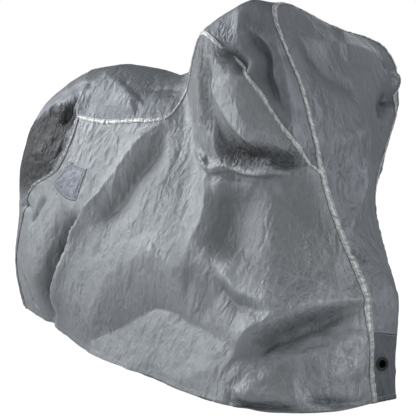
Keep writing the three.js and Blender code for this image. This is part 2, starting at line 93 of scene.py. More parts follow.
# The far side: height, share of the width left, set back per mm of width, sag
FAR_SIDE = np.array([
    (0, 0.5, 0.9, 0), (250, 0.62, 0.6, 0), (450, 0.68, 0.35, 0), (620, 0.7, 0.27, 0),
    (750, 0.82, 0.2, 0), (950, 1.01, 0.11, 4), (1100, 1.03, 0.12, 22), (1200, 0.99, 0.15, 25),
])
FAR_FROM, FAR_LENGTH, FAR_SAG_WIDTH = 150, 450, 200
NOSE_SHARE, NOSE_LEVEL, NOSE_LEVELS = 0.92, 4, 2       # share of the width left low on the nose

# Thickness of the cloth, gap under a tape, half of a tape; the hem's width and thickness, how much it swells past
# its stitches and sinks along them
CLOTH, GAP, TAPE_HALF = 1.6, 0.4, 10
HEM_WIDTH, HEM_THICK, HEM_SWELL, HEM_SUNK = 25, 3.4, 0.7, 0.4
# Where an eyelet is, its hole's radius, and how far round its middle the cloth is flat, fades and is cut anew
EYELET = {"section": 10.47, "level": 6.64, "hole": 15.5, "flat": 25, "fade": 26, "clear": 2}

# Folds laid along the creases that show. A path runs over (along, height), or (across, height) on the
# front; left and right are widths on either hand of it, rise is above the cloth. A "soft" fold is round, a "sharp"
# one has a crisp crest and flanks that die away, a "plane" one has a crisp crest and flat flanks, and a "broad" one
# is as flat. All but the broad ones paint shade and light into the cloth's colour, darker in their troughs and
# lighter on their crests. Folds on the "side" come again on the far side, those that are only "near" don't.
FOLDS = (
    # name, on, left, right, rise, kind, path
    ("side ridge", "side", 80, 80, 31, "plane",
     ((60, 815), (-60, 680), (-110, 600), (-190, 480), (-245, 415), (-270, 370))),
    ("crest of the ridge", "side", 8, 9, 5, "sharp", ((30, 790), (-60, 680), (-110, 600), (-190, 480), (-245, 415))),
    ("flank of the ridge", "side", 190, 14, 32, "broad",
     ((-150, 540), (-225, 440), (-300, 320), (-345, 200), (-390, 90))),
    ("trough beside it", "side", 120, 55, -20, "plane", ((70, 760), (25, 690), (-25, 600), (-80, 500), (-150, 420))),
    ("lower side ridge", "side", 34, 22, 16, "sharp",
     ((-205, 470), (-262, 385), (-315, 245), (-355, 140), (-420, 65))),
    ("hollow behind it", "side", 52, 86, -74, "soft",
     ((-275, 430), (-360, 330), (-405, 230), (-440, 130), (-475, 30))),
    ("pleat", "side", 12, 13, -18, "plane", ((-660, 200), (-600, 125), (-550, 75))),
    ("tail nick", "side", 16, 14, -14, "sharp", ((-820, 420), (-730, 435), (-665, 425))),
    ("leaf below the patch", "side", 16, 20, -16, "sharp", ((-555, 480), (-610, 425), (-655, 365))),
    ("tuck", "near", 90, 110, 15, "plane", ((-520, 985), (-280, 905), (-180, 868), (-110, 832))),
    ("shade of the tuck", "near", 60, 14, -5, "plane", ((-330, 940), (-262, 916), (-164, 880), (-90, 836))),
    ("end of the tuck", "near", 14, 18, 8, "sharp", ((-190, 858), (-165, 830), (-150, 805))),
    ("tail edge", "near", 60, 26, 15, "plane", ((-500, 925), (-500, 840), (-512, 780))),
    ("tail flap", "near", 26, 70, 14, "plane", ((-505, 915), (-555, 845), (-600, 800), (-765, 825))),
    ("pit of the tail", "near", 24, 24, -26, "soft", ((-528, 870), (-555, 800), (-575, 745))),
    ("crease of the top", "near", 18, 24, -8, "sharp", ((-160, 905), (-60, 912), (30, 912))),
    ("first rung", "side", 12, 20, 4, "sharp", ((-540, 768), (-690, 755), (-825, 762))),
    ("second rung", "side", 10, 16, 3, "sharp", ((-515, 712), (-615, 695), (-795, 712))),
    ("third rung", "side", 12, 20, 4, "sharp", ((-530, 655), (-630, 642), (-810, 640))),
    ("fourth rung", "side", 10, 16, 3, "sharp", ((-535, 612), (-650, 598), (-820, 606))),
    ("fifth rung", "side", 12, 18, 4, "sharp", ((-555, 570), (-675, 552), (-860, 566))),
    ("sixth rung", "side", 10, 16, 4, "sharp", ((-595, 522), (-725, 518), (-885, 526))),
    ("crease of the peak", "near", 34, 70, 12, "plane",
     ((540, 1158), (528, 1140), (524, 1090), (532, 1045), (545, 1000))),
    ("hump valley", "near", 26, 44, -26, "plane",
     ((545, 1078), (585, 1040), (625, 995), (634, 930), (665, 870), (690, 830))),
    ("hump ridge", "near", 28, 26, 16, "plane",
     ((590, 1075), (620, 1040), (645, 1005), (668, 950), (688, 880), (708, 800))),
    ("second hump valley", "near", 22, 22, -10, "soft",
     ((640, 1050), (670, 990), (690, 940), (704, 880), (714, 840))),
    ("pocket", "near", 22, 26, -34, "soft", ((430, 985), (495, 992), (532, 970), (568, 925))),
    ("rim of the bulge", "near", 170, 40, 19, "plane",
     ((415, 985), (428, 900), (490, 825), (560, 765), (620, 735), (662, 727), (720, 727), (775, 738))),
    ("crest of the rim", "near", 8, 9, 3, "sharp", ((440, 880), (490, 825), (560, 765), (620, 735), (720, 727))),
    ("under the rim", "near", 90, 26, -32, "plane",
     ((388, 840), (392, 765), (430, 708), (500, 687), (600, 674), (690, 672), (760, 690))),
    ("lip under it", "near", 24, 16, 20, "plane",
     ((200, 712), (290, 680), (375, 645), (440, 652), (515, 648), (630, 648), (700, 656), (760, 668))),
    ("shade of the lip", "near", 16, 60, -12, "plane", ((370, 628), (440, 632), (515, 626), (630, 624), (705, 640))),
    ("fold below the lip", "near", 26, 30, 8, "sharp", ((370, 590), (490, 598), (605, 615))),
    ("corner ridge", "near", 60, 110, 20, "plane",
     ((345, 680), (362, 600), (378, 530), (380, 470), (352, 390), (330, 340))),
    ("corner trough", "near", 130, 60, -24, "soft", ((470, 610), (480, 520), (480, 430), (470, 350))),
    ("column ridge", "near", 26, 26, 5, "sharp", ((345, 1000), (290, 900), (285, 800), (300, 715))),
    ("column trough", "near", 30, 26, -12, "soft", ((400, 1000), (380, 900), (370, 810), (360, 720))),
    ("foot of the bright facet", "side", 70, 50, 9, "sharp", ((352, 335), (295, 322), (200, 345), (90, 392))),
    ("hollow of the middle", "side", 60, 60, -14, "soft", ((330, 310), (440, 275), (520, 200))),
    ("spread of the hem", "side", 170, 150, -46, "broad",
     ((-140, 40), (-20, 88), (130, 160), (230, 195), (405, 178), (575, 162), (660, 140))),
    ("flare of the hem", "side", 110, 40, 25, "broad",
     ((-350, 20), (-150, 5), (100, 0), (400, 0), (700, 0), (880, 5), (990, 20))),
    ("lower ridge", "side", 80, 34, 18, "plane", ((470, 362), (600, 298), (700, 278), (810, 262))),
    ("lower trough", "side", 34, 70, -18, "plane", ((480, 322), (590, 266), (680, 252), (780, 248))),
    ("above the front trough", "side", 100, 34, 26, "plane",
     ((660, 120), (690, 172), (765, 228), (805, 252), (860, 280), (925, 298))),
    ("crest above it", "side", 8, 9, 4, "sharp", ((720, 200), (765, 228), (805, 252), (860, 280), (925, 298))),
    ("shade above the trough", "side", 26, 34, -26, "soft",
     ((700, 140), (750, 178), (812, 214), (872, 250), (925, 284))),
    ("front trough", "side", 44, 90, -32, "broad", ((672, 112), (735, 158), (805, 192), (880, 236), (930, 280))),
    ("zigzag", "side", 14, 14, 7, "sharp", ((840, 176), (862, 196), (885, 200), (905, 228), (935, 238))),
    ("rise to the nose", "side", 24, 26, 13, "sharp", ((800, 120), (865, 150), (912, 176), (938, 218))),
    ("turn of the nose", "side", 34, 70, 14, "plane", ((942, 240), (944, 180), (946, 140), (938, 112), (890, 70))),
    ("hem fold", "near", 70, 22, 15, "plane", ((690, 42), (744, 40), (817, 42), (900, 28))),
    ("under the hem fold", "near", 14, 30, -24, "plane", ((700, 16), (760, 15), (840, 17), (910, 5))),
    ("front hem fold", "near", 10, 20, -24, "plane", ((895, 46), (930, 36), (950, 22), (965, 2))),
    ("crown ridge", "front", 50, 70, 14, "plane",
     ((-240, 1095), (-160, 1082), (-40, 1085), (135, 1100), (260, 1092))),
    ("far knob", "front", 34, 26, 18, "soft", ((255, 1000), (295, 1022), (345, 1040))),
    ("under the knob", "front", 26, 34, -30, "soft", ((185, 930), (235, 962), (300, 978), (345, 985))),
    ("crease over the knob", "front", 18, 16, -11, "sharp", ((215, 1078), (270, 1062), (345, 1060))),
    ("front recess", "front", 26, 30, -26, "soft", ((230, 975), (165, 925), (110, 870))),
    ("front folds", "front", 30, 26, -10, "sharp", ((-225, 1065), (-175, 1010), (-130, 968), (-50, 950), (0, 900))),
    ("nose arch", "front", 30, 44, 11, "plane",
     ((-165, 732), (-110, 770), (-55, 796), (15, 822), (58, 785), (74, 730))),
    ("nose ridge", "front", 26, 34, 10, "sharp", ((40, 790), (-5, 640), (-85, 530), (-122, 460))),
    ("nose pits", "front", 12, 12, -9, "sharp", ((-125, 438), (-100, 424), (-66, 414))),
    ("band fold", "front", 14, 18, 9, "sharp", ((-108, 170), (-92, 110), (-104, 50), (-96, 0))),
    ("second band fold", "front", 14, 16, 8, "sharp", ((-40, 110), (-52, 60), (-30, 0))),
)
STEPS, FOLD_REACH, FLANK_BEND = 5, 2.6, 1.2            # runs of a path's stretch, reach in widths, bend of a flank
END, END_LEFT, END_WIDTH = 0.26, 0.1, 0.35             # share of a path that tapers, and what its tips keep
FAR_FOLD, FAR_FOLD_SHIFT, BLEND = 0.5, 70, 80          # share and shift of a fold's copy on the far side
FRONT_FOLDS_FROM, FRONT_FOLDS_LENGTH = 9.6, 0.8        # sections over which the "front" folds take over
WOBBLE, WOBBLE_LENGTH = 9, 90                          # how far paths stray, so that no fold is ruled

# Wrinkles spread over the whole cloth: across and along are the sizes of one, slope is how far its line runs
# forward for each mm up, rise its height, and sharp says that its crest is narrow.
WRINKLES = (
    # name, across, along, slope, rise, sharp
    ("soft swell", 230, 260, 0.2, 4.5, 0),
    ("drag", 75, 250, 0.55, 1.7, 1),
    ("cross drag", 60, 170, -0.45, 1.2, 1),
    ("crinkle", 30, 80, 0.4, 0.7, 1),
    ("cross crinkle", 26, 60, -0.8, 0.6, 1),
)
DEPTH_SHARE, SUNK = 0.7, 0.2            # stretch of wrinkles across the cover, share of a crest taken off all over
STIR, STIR_SCALE = 0.35, 0.6            # how far a wrinkle's line wanders, in wrinkles
CALM, CALM_GAIN, CALM_LENGTH = 0.35, 1.6, 210          # least strength, and how fast it changes from place to place
FINE = 50                               # wrinkles narrower than this grow where the coat is crumpled
NOISE_STEP = {"wrinkle": 17.3, "calm": 31, "stir": 5, "fan": 9.1, "wobble": 7}     # so that no two look alike

# Where the coat is crumpled and shade is painted into its colour: middle (along, height), how far along and how far up,
# and how much
CRUMPLED_AND_SHADED = (
    # name, along, height, reach along, reach up, amount
    ("column", 320, 880, 75, 190, 1.0),
    ("under the bulge", 550, 695, 220, 52, 1.15),
    ("notch", 330, 680, 60, 60, 0.8),
    ("shoulder", 420, 1040, 110, 50, 0.7),
    ("below the notch", 110, 720, 90, 90, 0.4),
    ("before the front seam", 800, 330, 110, 110, 0.5),
    ("nose hem", 940, 90, 60, 90, 0.5),
    ("tail hem", -150, 120, 120, 70, 0.4),
    ("behind the side ridge", -408, 215, 46, 130, 1.1),
)
CRUMPLE_GAIN, FAR_CRUMPLE = 1.4, 0.5

# The whole tail is crumpled, with shade painted over it, behind the rear seam, below a level and above a height, and
# less on the far side: how much, how ragged its edges are and over how many mm, and how many sections, levels and mm
# they take to fade
TAIL_CRUMPLE_AND_SHADE = {
    "amount": 1.35, "ragged": 0.5, "spot": 70, "per section": 2.4, "start": 0.4, "level": 1.9, "per level": 1.2,
    "height": 360, "height fade": 200, "far share": 0.55, "width fade": 160,
}

# Fans of drag lines out of a held point: side (-1 near), where (along, height), from and to in degrees, number of
# lines in that angle, how far they reach and how high they are. FAN says how they fade at the fan's edges, near
# its point and at their ends, how long and narrow a crest is, and how much of it is taken off all over.
FANS = (
    # name, side, along, height, from, to, lines, reach, rise
    ("notch", -1, 60, 830, 175, 262, 11, 460, 3.6),
    ("saddle", -1, -200, 800, 195, 290, 8, 300, 3.5),
    ("shoulder", -1, 372, 1065, 215, 300, 8, 380, 5.0),
    ("bulge", -1, 640, 700, 180, 250, 7, 300, 4.0),
    ("nose", -1, 960, 130, 95, 200, 8, 360, 5.0),
    ("tail", -1, -480, 790, 190, 275, 8, 320, 4.5),
    ("far notch", 1, 60, 830, 175, 300, 10, 420, 5.0),
    ("far shoulder", 1, 372, 1065, 200, 320, 10, 380, 5.0),
    ("far tail", 1, -480, 790, 190, 290, 8, 320, 4.5),
)
FAN = {"edge": 5, "clear": 60, "fade": 1.4, "length": 150, "width": 0.4, "sunk": 0.25}

# Ripples beside the sewn seams and along the hem, mm; the rear seam's end before the first of these sections, the
# front seam's start past the second
PUCKER = {"length": 17, "reach": 26, "rise": 2.2, "past": 0.2}
PUCKER_SECTIONS = (4, 8)
HEM_RIPPLE = {"length": 60, "reach": 70, "rise": 2.4}


class CoverSizes(bpy.types.PropertyGroup):
    """Sizes that a maker would change"""

    cell: bpy.props.FloatProperty(
        name="Mesh cell", description="Length of a facet of the cloth", default=0.0096, min=0.006, unit="LENGTH")
    tape_thickness: bpy.props.FloatProperty(
        name="Tape thickness", description="Thickness of the seam tape and patch", default=0.001, unit="LENGTH")
    tape_ripple: bpy.props.FloatProperty(
        name="Tape ripple", description="Height of the gathers across the seam tape", default=0.0028, unit="LENGTH")
    tape_ripple_length: bpy.props.FloatProperty(
        name="Gather spacing", description="Distance between gathers along the tape", default=0.011, unit="LENGTH")
    stitch_pitch: bpy.props.FloatProperty(
        name="Stitch pitch", description="Distance from one stitch to the next", default=0.0065, unit="LENGTH")
    stitch_length: bpy.props.FloatProperty(
        name="Stitch length", description="Visible length of a stitch", default=0.0048, unit="LENGTH")
    thread: bpy.props.FloatProperty(
        name="Thread", description="Thickness of the sewing thread", default=0.0013, unit="LENGTH")
    ring_bore: bpy.props.FloatProperty(
        name="Eyelet bore", description="Inner radius of an eyelet ring", default=0.012, unit="LENGTH")
    ring_flange: bpy.props.FloatProperty(
        name="Eyelet flange", description="Outer radius of an eyelet ring", default=0.021, unit="LENGTH")


class CoverColours(bpy.types.PropertyGroup):
    """Colours of the finishes, as sRGB hex values"""

    light_cloth: bpy.props.StringProperty(
        name="Side cloth", description="Colour of the side panels", default="#a3a8ad")
    dark_cloth: bpy.props.StringProperty(
        name="Top cloth", description="Colour of the top, rear and front panels", default="#8f949b")
    patch_cloth: bpy.props.StringProperty(
        name="Patch cloth", description="Colour of the sewn-on patch", default="#8c919b")
    band_cloth: bpy.props.StringProperty(
        name="Band cloth", description="Colour of the front band", default="#676d74")
    seam_tape: bpy.props.StringProperty(
        name="Seam tape", description="Colour of the taped seams", default="#f0f3f5")
    thread: bpy.props.StringProperty(
        name="Thread", description="Colour of the sewing thread", default="#c4c8ca")
    plastic: bpy.props.StringProperty(
        name="Eyelet plastic", description="Colour of the eyelet rings", default="#1b1c1e")
    floor: bpy.props.StringProperty(
        name="Floor", description="Colour of the studio floor", default="#f4f4f4")


# ---- surface
def smooth(a):
    t = np.clip(a, 0, 1)
    return t * t * (3 - 2 * t)


def length_of(v):
    return np.linalg.norm(v, axis=-1)


def unit(v):
    return v / np.maximum(length_of(v), 1e-9)[..., None]


def tangents(points):
    """Slopes at the inner rows of points, never longer than the shorter neighbouring stretch."""
    a, b = points[1:-1] - points[:-2], points[2:] - points[1:-1]
    shorter = np.minimum(length_of(a), length_of(b))
    return unit(unit(a) + unit(b)) * (shorter * TIGHTNESS)[..., None]


def hermite(p, m, q, n, t):
    t = t[..., None]
    t2, t3 = t * t, t * t * t
    return (2 * t3 - 3 * t2 + 1) * p + (t3 - 2 * t2 + t) * m + (3 * t2 - 2 * t3) * q + (t3 - t2) * n


ACROSS = np.array([1, -1, 1])
SUPPORTS = np.array([row[1:] for row in SECTIONS], float)
SLOPES = tangents(np.concatenate([SUPPORTS[1:2] * ACROSS, SUPPORTS, SUPPORTS[-2:-1] * ACROSS]))


def half(section, level):
    """Half of the cover before it leans, at flat arrays of sections and levels."""
    i = np.clip(np.floor(section).astype(int), 0, LAST - 1)
    t = (section - i)[:, None] * np.ones(HEM + 1)
    down = hermite(SUPPORTS[i], SLOPES[i], SUPPORTS[i + 1], SLOPES[i + 1], t).transpose(1, 0, 2)
    slopes = tangents(np.concatenate([down[1:2] * ACROSS, down, 2 * down[-1:] - down[-2:-1]]))
    j = np.clip(np.floor(level).astype(int), 0, HEM - 1)
    k = np.arange(len(j))
    return hermite(down[j, k], slopes[j, k], down[j + 1, k], slopes[j + 1, k], level - j)


def own_side(section, level, side):
    """Past the crest, back or nose the cloth goes on to the other side."""
    side = np.where(level < 0, -side, side)
    side = np.where(section < 0, -side, side)
    side = np.where(section > LAST, -side, side)
    return LAST - np.abs(LAST - np.abs(section)), np.abs(level), side


def upright(section, level, side):
    """The cover before it leans: the near half as it is, the far half drawn in, set back and sagging."""
    section, level, side = own_side(section, level, side)
    p = half(section, level)
    p[:, 1] *= side
    forward = np.where(side > 0, smooth((p[:, 0] - FAR_FROM) / FAR_LENGTH), 0)
    nose = smooth(section - FRONT_SEAM + 1) * smooth((level - NOSE_LEVEL) / NOSE_LEVELS)
    share, back, sag = (np.interp(p[:, 2], FAR_SIDE[:, 0], FAR_SIDE[:, k]) for k in (1, 2, 3))
    share = share + (NOSE_SHARE - share) * nose
    p[:, 1] *= 1 - (1 - share) * forward
    p[:, 0] -= back * p[:, 1] * forward
    p[:, 2] -= sag * forward * np.minimum(1, p[:, 1] / FAR_SAG_WIDTH)
    return p


def normal_of(surface, section, level, side):
    along = surface(section + NUDGE, level, side) - surface(section - NUDGE, level, side)
    down = surface(section, level + NUDGE, side) - surface(section, level - NUDGE, side)
    return unit(np.cross(along, down) * side[:, None])


def lean(p):
    angle = LEAN * smooth(p[:, 2] / LEAN_FULL)
    turn = TURN * np.maximum(0, (p[:, 0] - TURN_FROM) / TURN_LENGTH) ** TURN_BEND
    y = p[:, 1] * np.cos(angle) + p[:, 2] * np.sin(angle) + turn
    z = p[:, 2] * np.cos(angle) - p[:, 1] * np.sin(angle)
    return np.stack([p[:, 0], y, z], -1) - FOOT


def on_floor(p):
    """Cloth that would hang below the floor lies on it."""
    p[:, 2] = np.maximum(p[:, 2], HEM_THICK + CLOTH)
    return p


# ---- folds and wrinkles
def catmull_rom(path):
    """The path as short straight runs."""
    q = np.array(path, float)
    q = np.concatenate([q[:1], q, q[-1:]])
    out = []
    for k in range(1, len(q) - 2):
        t = np.arange(STEPS)[:, None] / STEPS
        v0, v1 = (q[k + 1] - q[k - 1]) / 2, (q[k + 2] - q[k]) / 2
        a, b = q[k], q[k + 1]
        out.append((2 * a - 2 * b + v0 + v1) * t ** 3 + (-3 * a + 3 * b - 2 * v0 - v1) * t ** 2 + v0 * t + a)
    return np.concatenate([*out, q[-1:]])


PROFILES = {
    "soft": lambda x: np.exp(-x * x),
    "sharp": lambda x: np.maximum(0, 1 - x / 2) ** 2,
    "plane": lambda x: np.maximum(0, 1 - x) ** FLANK_BEND,
}
PROFILES["broad"] = PROFILES["plane"]


def rise_of(fold, at):
    """Height of one fold at points (along or across, height)."""
    _, _, left, right, rise, kind, path = fold
    line = catmull_rom(path)
    steps = length_of(np.diff(line, axis=0))
    starts = np.concatenate([[0], np.cumsum(steps)[:-1]]) / steps.sum()
    reach = FOLD_REACH * max(left, right)
    close = np.all((at > line.min(0) - reach) & (at < line.max(0) + reach), axis=-1)
    h = np.zeros(len(at))
    p = at[close]
    if not len(p):
        return h
    best, hand, place = np.full(len(p), np.inf), np.ones(len(p)), np.zeros(len(p))
    for a, b, start, share in zip(line, line[1:], starts, steps / steps.sum()):
        d = b - a
        t = np.clip((p - a) @ d / (d @ d), 0, 1)
        off = p - a - t[:, None] * d
        distance = length_of(off)
        nearer = distance < best
        best = np.where(nearer, distance, best)
        hand = np.where(nearer, np.sign(d[0] * (p - a)[:, 1] - d[1] * (p - a)[:, 0]), hand)
        place = np.where(nearer, start + t * share, place)
    taper = smooth(place / END) * smooth((1 - place) / END)
    x = best / np.where(hand > 0, left, right) / (END_WIDTH + (1 - END_WIDTH) * taper)
    h[close] = rise * PROFILES[kind](x) * (END_LEFT + (1 - END_LEFT) * taper)
    return h


RANDOM = np.random.default_rng(20)
ORDER = np.tile(RANDOM.permutation(256), 2)
LEANINGS = unit(RANDOM.normal(size=(256, 3)))


def noise(q):
    """Smooth gradient noise between about -0.7 and 0.7."""
    cell = np.floor(q).astype(int)
    f = q - cell
    w = f * f * f * (f * (f * 6 - 15) + 10)
    total = 0
    for corner in np.ndindex(2, 2, 2):
        c = (cell + corner) & 255
        g = LEANINGS[ORDER[ORDER[ORDER[c[:, 0]] + c[:, 1]] + c[:, 2]]]
        share = np.prod(np.where(corner, w, 1 - w), axis=-1)
        total = total + share * ((f - corner) * g).sum(-1)
    return total


def crests(n, width=0.3):
    """Narrow crests along the zero lines of a noise."""
    return np.maximum(0, 1 - np.abs(n) / width) ** 2


def crumpled_and_shaded(p):
    """How crumpled the coat is, from 0 to about 1, which also sets how much shade is painted into its colour."""
    amount = 0
    for _, along, height, reach_along, reach_up, most in CRUMPLED_AND_SHADED:
        off = ((p[:, 0] - along) / reach_along) ** 2 + ((p[:, 2] - height) / reach_up) ** 2
        amount = np.maximum(amount, most * np.exp(-off))
    return amount


def tail_crumple_and_shade(p, section, level):
    """How crumpled the tail is, which also sets how much shade is painted over it."""
    at = TAIL_CRUMPLE_AND_SHADE
    edge = at["ragged"] * noise(p / at["spot"])
    behind = smooth((REAR_SEAM - section + edge) * at["per section"] + at["start"])
    below = smooth((level - at["level"] + edge) * at["per level"])
    above = smooth((p[:, 2] - at["height"]) / at["height fade"])
    near = smooth(0.5 - p[:, 1] / at["width fade"])
    return at["amount"] * behind * below * above * (at["far share"] + (1 - at["far share"]) * near)


def wrinkled(p):
    """Wrinkles all over the cloth, at points before it leans."""
    h, more = 0, 1 + CRUMPLE_GAIN * crumpled_and_shaded(p)
    for k, (_, across, along, slope, rise, sharp) in enumerate(WRINKLES):
        q = np.stack([
            (p[:, 0] - slope * p[:, 2]) / across,
            p[:, 1] / across * DEPTH_SHARE,
            (p[:, 2] + slope * p[:, 0]) / along,
        ], -1) + NOISE_STEP["wrinkle"] * k
        q = q + STIR * noise(q * STIR_SCALE + NOISE_STEP["stir"])[:, None]
        strength = CALM + (1 - CALM) * smooth(0.5 + CALM_GAIN * noise(p / CALM_LENGTH + NOISE_STEP["calm"] * k))
        share = more if across < FINE else 1
        h = h + rise * share * (crests(noise(q)) * strength - SUNK if sharp else noise(q))
    return h


def fanned(p, side):
    """Drag lines that spread from the held points."""
    h = 0
    for k, (_, own, along, height, start, end, lines, reach, rise) in enumerate(FANS):
        dx, dz = p[:, 0] - along, p[:, 2] - height
        r = np.hypot(dx, dz)
        angle = (np.degrees(np.arctan2(dz, dx)) - start) % 360 / (end - start)
        inside = smooth(angle * FAN["edge"]) * smooth((1 - angle) * FAN["edge"]) * (angle < 1) * (side == own)
        ring = smooth(r / FAN["clear"]) * smooth((reach - r) / reach * FAN["fade"])
        q = np.stack([angle * lines, r / FAN["length"], 0 * r + NOISE_STEP["fan"] * k], -1)
        h = h + rise * inside * ring * (crests(noise(q), FAN["width"]) - FAN["sunk"])
    return h


def rippled(p, line, size):
    """Ripples beside a line of the cloth, each as its nearest point of the line has it."""
    return np.exp(-length_of(p - line) / size["reach"]) * noise(line / size["length"])


def seamed(p, section, level, side):
    """Puckers beside the sewn seams and a soft ripple along the hem."""
    same, past, h = np.ones_like(section), PUCKER["past"], 0
    rear_end, front_start = PUCKER_SECTIONS
    for line, where in (
        (upright(section, TOP_SEAM * same, side), section > REAR_SEAM - past),
        (upright(REAR_SEAM * same, level, side), (level > TOP_SEAM - past) & (section < rear_end)),
        (upright(FRONT_SEAM * same, level, side), section > front_start),
    ):
        h = h + where * rippled(p, line, PUCKER)
    return PUCKER["rise"] * h + HEM_RIPPLE["rise"] * rippled(p, upright(section, HEM * same, side), HEM_RIPPLE)


def lift(p, section, level, side):
    """How far the folds lift the cloth, and the same without the broad ones: the lift that paints shade into the
    colour.
    """
    near = smooth(0.5 - p[:, 1] / BLEND)
    nose = smooth((section - FRONT_FOLDS_FROM) / FRONT_FOLDS_LENGTH)
    h, broad = wrinkled(p) + fanned(p, side) + seamed(p, section, level, side), 0
    at = p + np.stack([WOBBLE * noise(p / WOBBLE_LENGTH + NOISE_STEP["wobble"] * k) for k in range(3)], -1)
    for fold in FOLDS:
        _, on, _, _, _, kind, _ = fold
        if on == "front":
            raised = nose * rise_of(fold, at[:, 1:])
        else:
            raised = (1 - nose) * near * rise_of(fold, at[:, ::2])
        if on == "side":
            raised = raised + (1 - nose) * (1 - near) * FAR_FOLD * rise_of(fold, at[:, ::2] - (FAR_FOLD_SHIFT, 0))
        h = h + raised
        if kind == "broad":
            broad = broad + raised
    return h, h - broad


def folded(section, level, side, with_lift=False):
    """The leant cloth with its folds, and if asked how far they lift it, less the broad folds, which sets the painted
    shade.
    """
    p = upright(section, level, side)
    s, t, own = own_side(section, level, side)
    h, relief = lift(p, s, t, own)
    moved = lean(p + normal_of(upright, section, level, side) * h[:, None])
    return (moved, relief) if with_lift else moved


def eyelet_spot(side):
    """Middle of an eyelet's hole and the way it faces."""
    at = [np.array([float(x)]) for x in (EYELET["section"], EYELET["level"], side)]
    return folded(*at)[0], normal_of(folded, *at)[0]


SPOTS = (eyelet_spot(-1), eyelet_spot(1))


def cloth(section, level, side):
    """The middle of the hanging cloth, pressed flat round each eyelet, and how far its folds lift it, less the broad
    ones, which sets the painted shade.
    """
    p, h = folded(section, level, side, True)
    for centre, normal in SPOTS:
        d = length_of(p - centre)
        off = (p - centre) @ normal
        p = p - np.outer(off * (1 - smooth((d - EYELET["flat"]) / EYELET["fade"])), normal)
    return on_floor(p), h


# ---- the lattice
TAPE_MARKS = (5, TAPE_HALF)
HEM_MARKS = (2.5, 8, 14, 20, HEM_WIDTH)
SECTION_PLACES = (0, 1, REAR_SEAM, PATCH["from"], PATCH["to"], 4, 5, 6, 7, 8, 9, FRONT_SEAM, LAST)
SECTION_MARKS = dict.fromkeys((REAR_SEAM, FRONT_SEAM), (TAPE_MARKS, TAPE_MARKS))
LEVEL_PLACES = (0, 1, 2, TOP_SEAM, PATCH["top"], PATCH["foot"], 5, 6, BAND_TOP, HEM)
LEVEL_MARKS = {TOP_SEAM: (TAPE_MARKS, TAPE_MARKS), BAND_TOP: ((4,), (4,)), HEM: (HEM_MARKS, ())}
TOP_CELLS = 2           # the smooth top has facets this many times as wide across
USUAL_LEVEL = 250       # mm, about the length of a level, for a first guess


def stops_at(places, marks=None):
    """Stops of the lattice: where each is, and the distances of the lines that go before it and after it."""
    return [(at, *(marks or {}).get(at, ((), ()))) for at in places]


def lines_of(stops, cell, length_at):
    """Lattice lines as rows of (start, end, share, mm): beside a stop some lie at fixed distances from it."""
    rows = []
    for (start, _, after), (end, before, _) in zip(stops, stops[1:]):
        a, b = max(after, default=0), max(before, default=0)
        inner = max(1, round((length_at(start, end) - a - b) / cell))
        rows.append((start, end, 0, 0))
        rows += [(start, end, 0, mark) for mark in after]
        rows += [(start, end, k / inner, a * (1 - k / inner) - b * k / inner) for k in range(1, inner)]
        rows += [(start, end, 1, -mark) for mark in reversed(before)]
    rows.append((stops[-1][0], stops[-1][0], 0, 0))
    return np.array(rows, float)


def placed(line, length):
    start, end, share, mm = line
    return start + (end - start) * (share + mm / np.maximum(length, 1e-6))


def crossings(columns, rows, side):
    """Section and level at each crossing of section lines and level lines."""
    shape = (len(columns), len(rows))
    column = [np.repeat(columns[:, k], shape[1]) for k in range(4)]
    row = [np.tile(rows[:, k], shape[0]) for k in range(4)]
    sides = np.full(shape[0] * shape[1], float(side))
    roughly = placed(row, USUAL_LEVEL)
    wide = length_of(upright(column[0], roughly, sides) - upright(column[1], roughly, sides))
    section = placed(column, wide)
    high = length_of(upright(section, row[0], sides) - upright(section, row[1], sides))
    return section, placed(row, high), sides


def longest(along_sections):
    """A measure of how far apart two section lines, or two level lines, lie at most."""
    def measure(*ends):
        other = np.arange((HEM if along_sections else LAST) + 1.0)
        p, q = (half(*((at + 0 * other, other) if along_sections else (other, at + 0 * other))) for at in ends)
        return length_of(p - q).max()
    return measure


def run(p, axis):
    """Distance along each line of a grid of points."""
    return np.cumsum(np.pad(length_of(np.diff(p, axis=axis)), [(1 - axis, 0), (axis, 0)]), axis=axis)


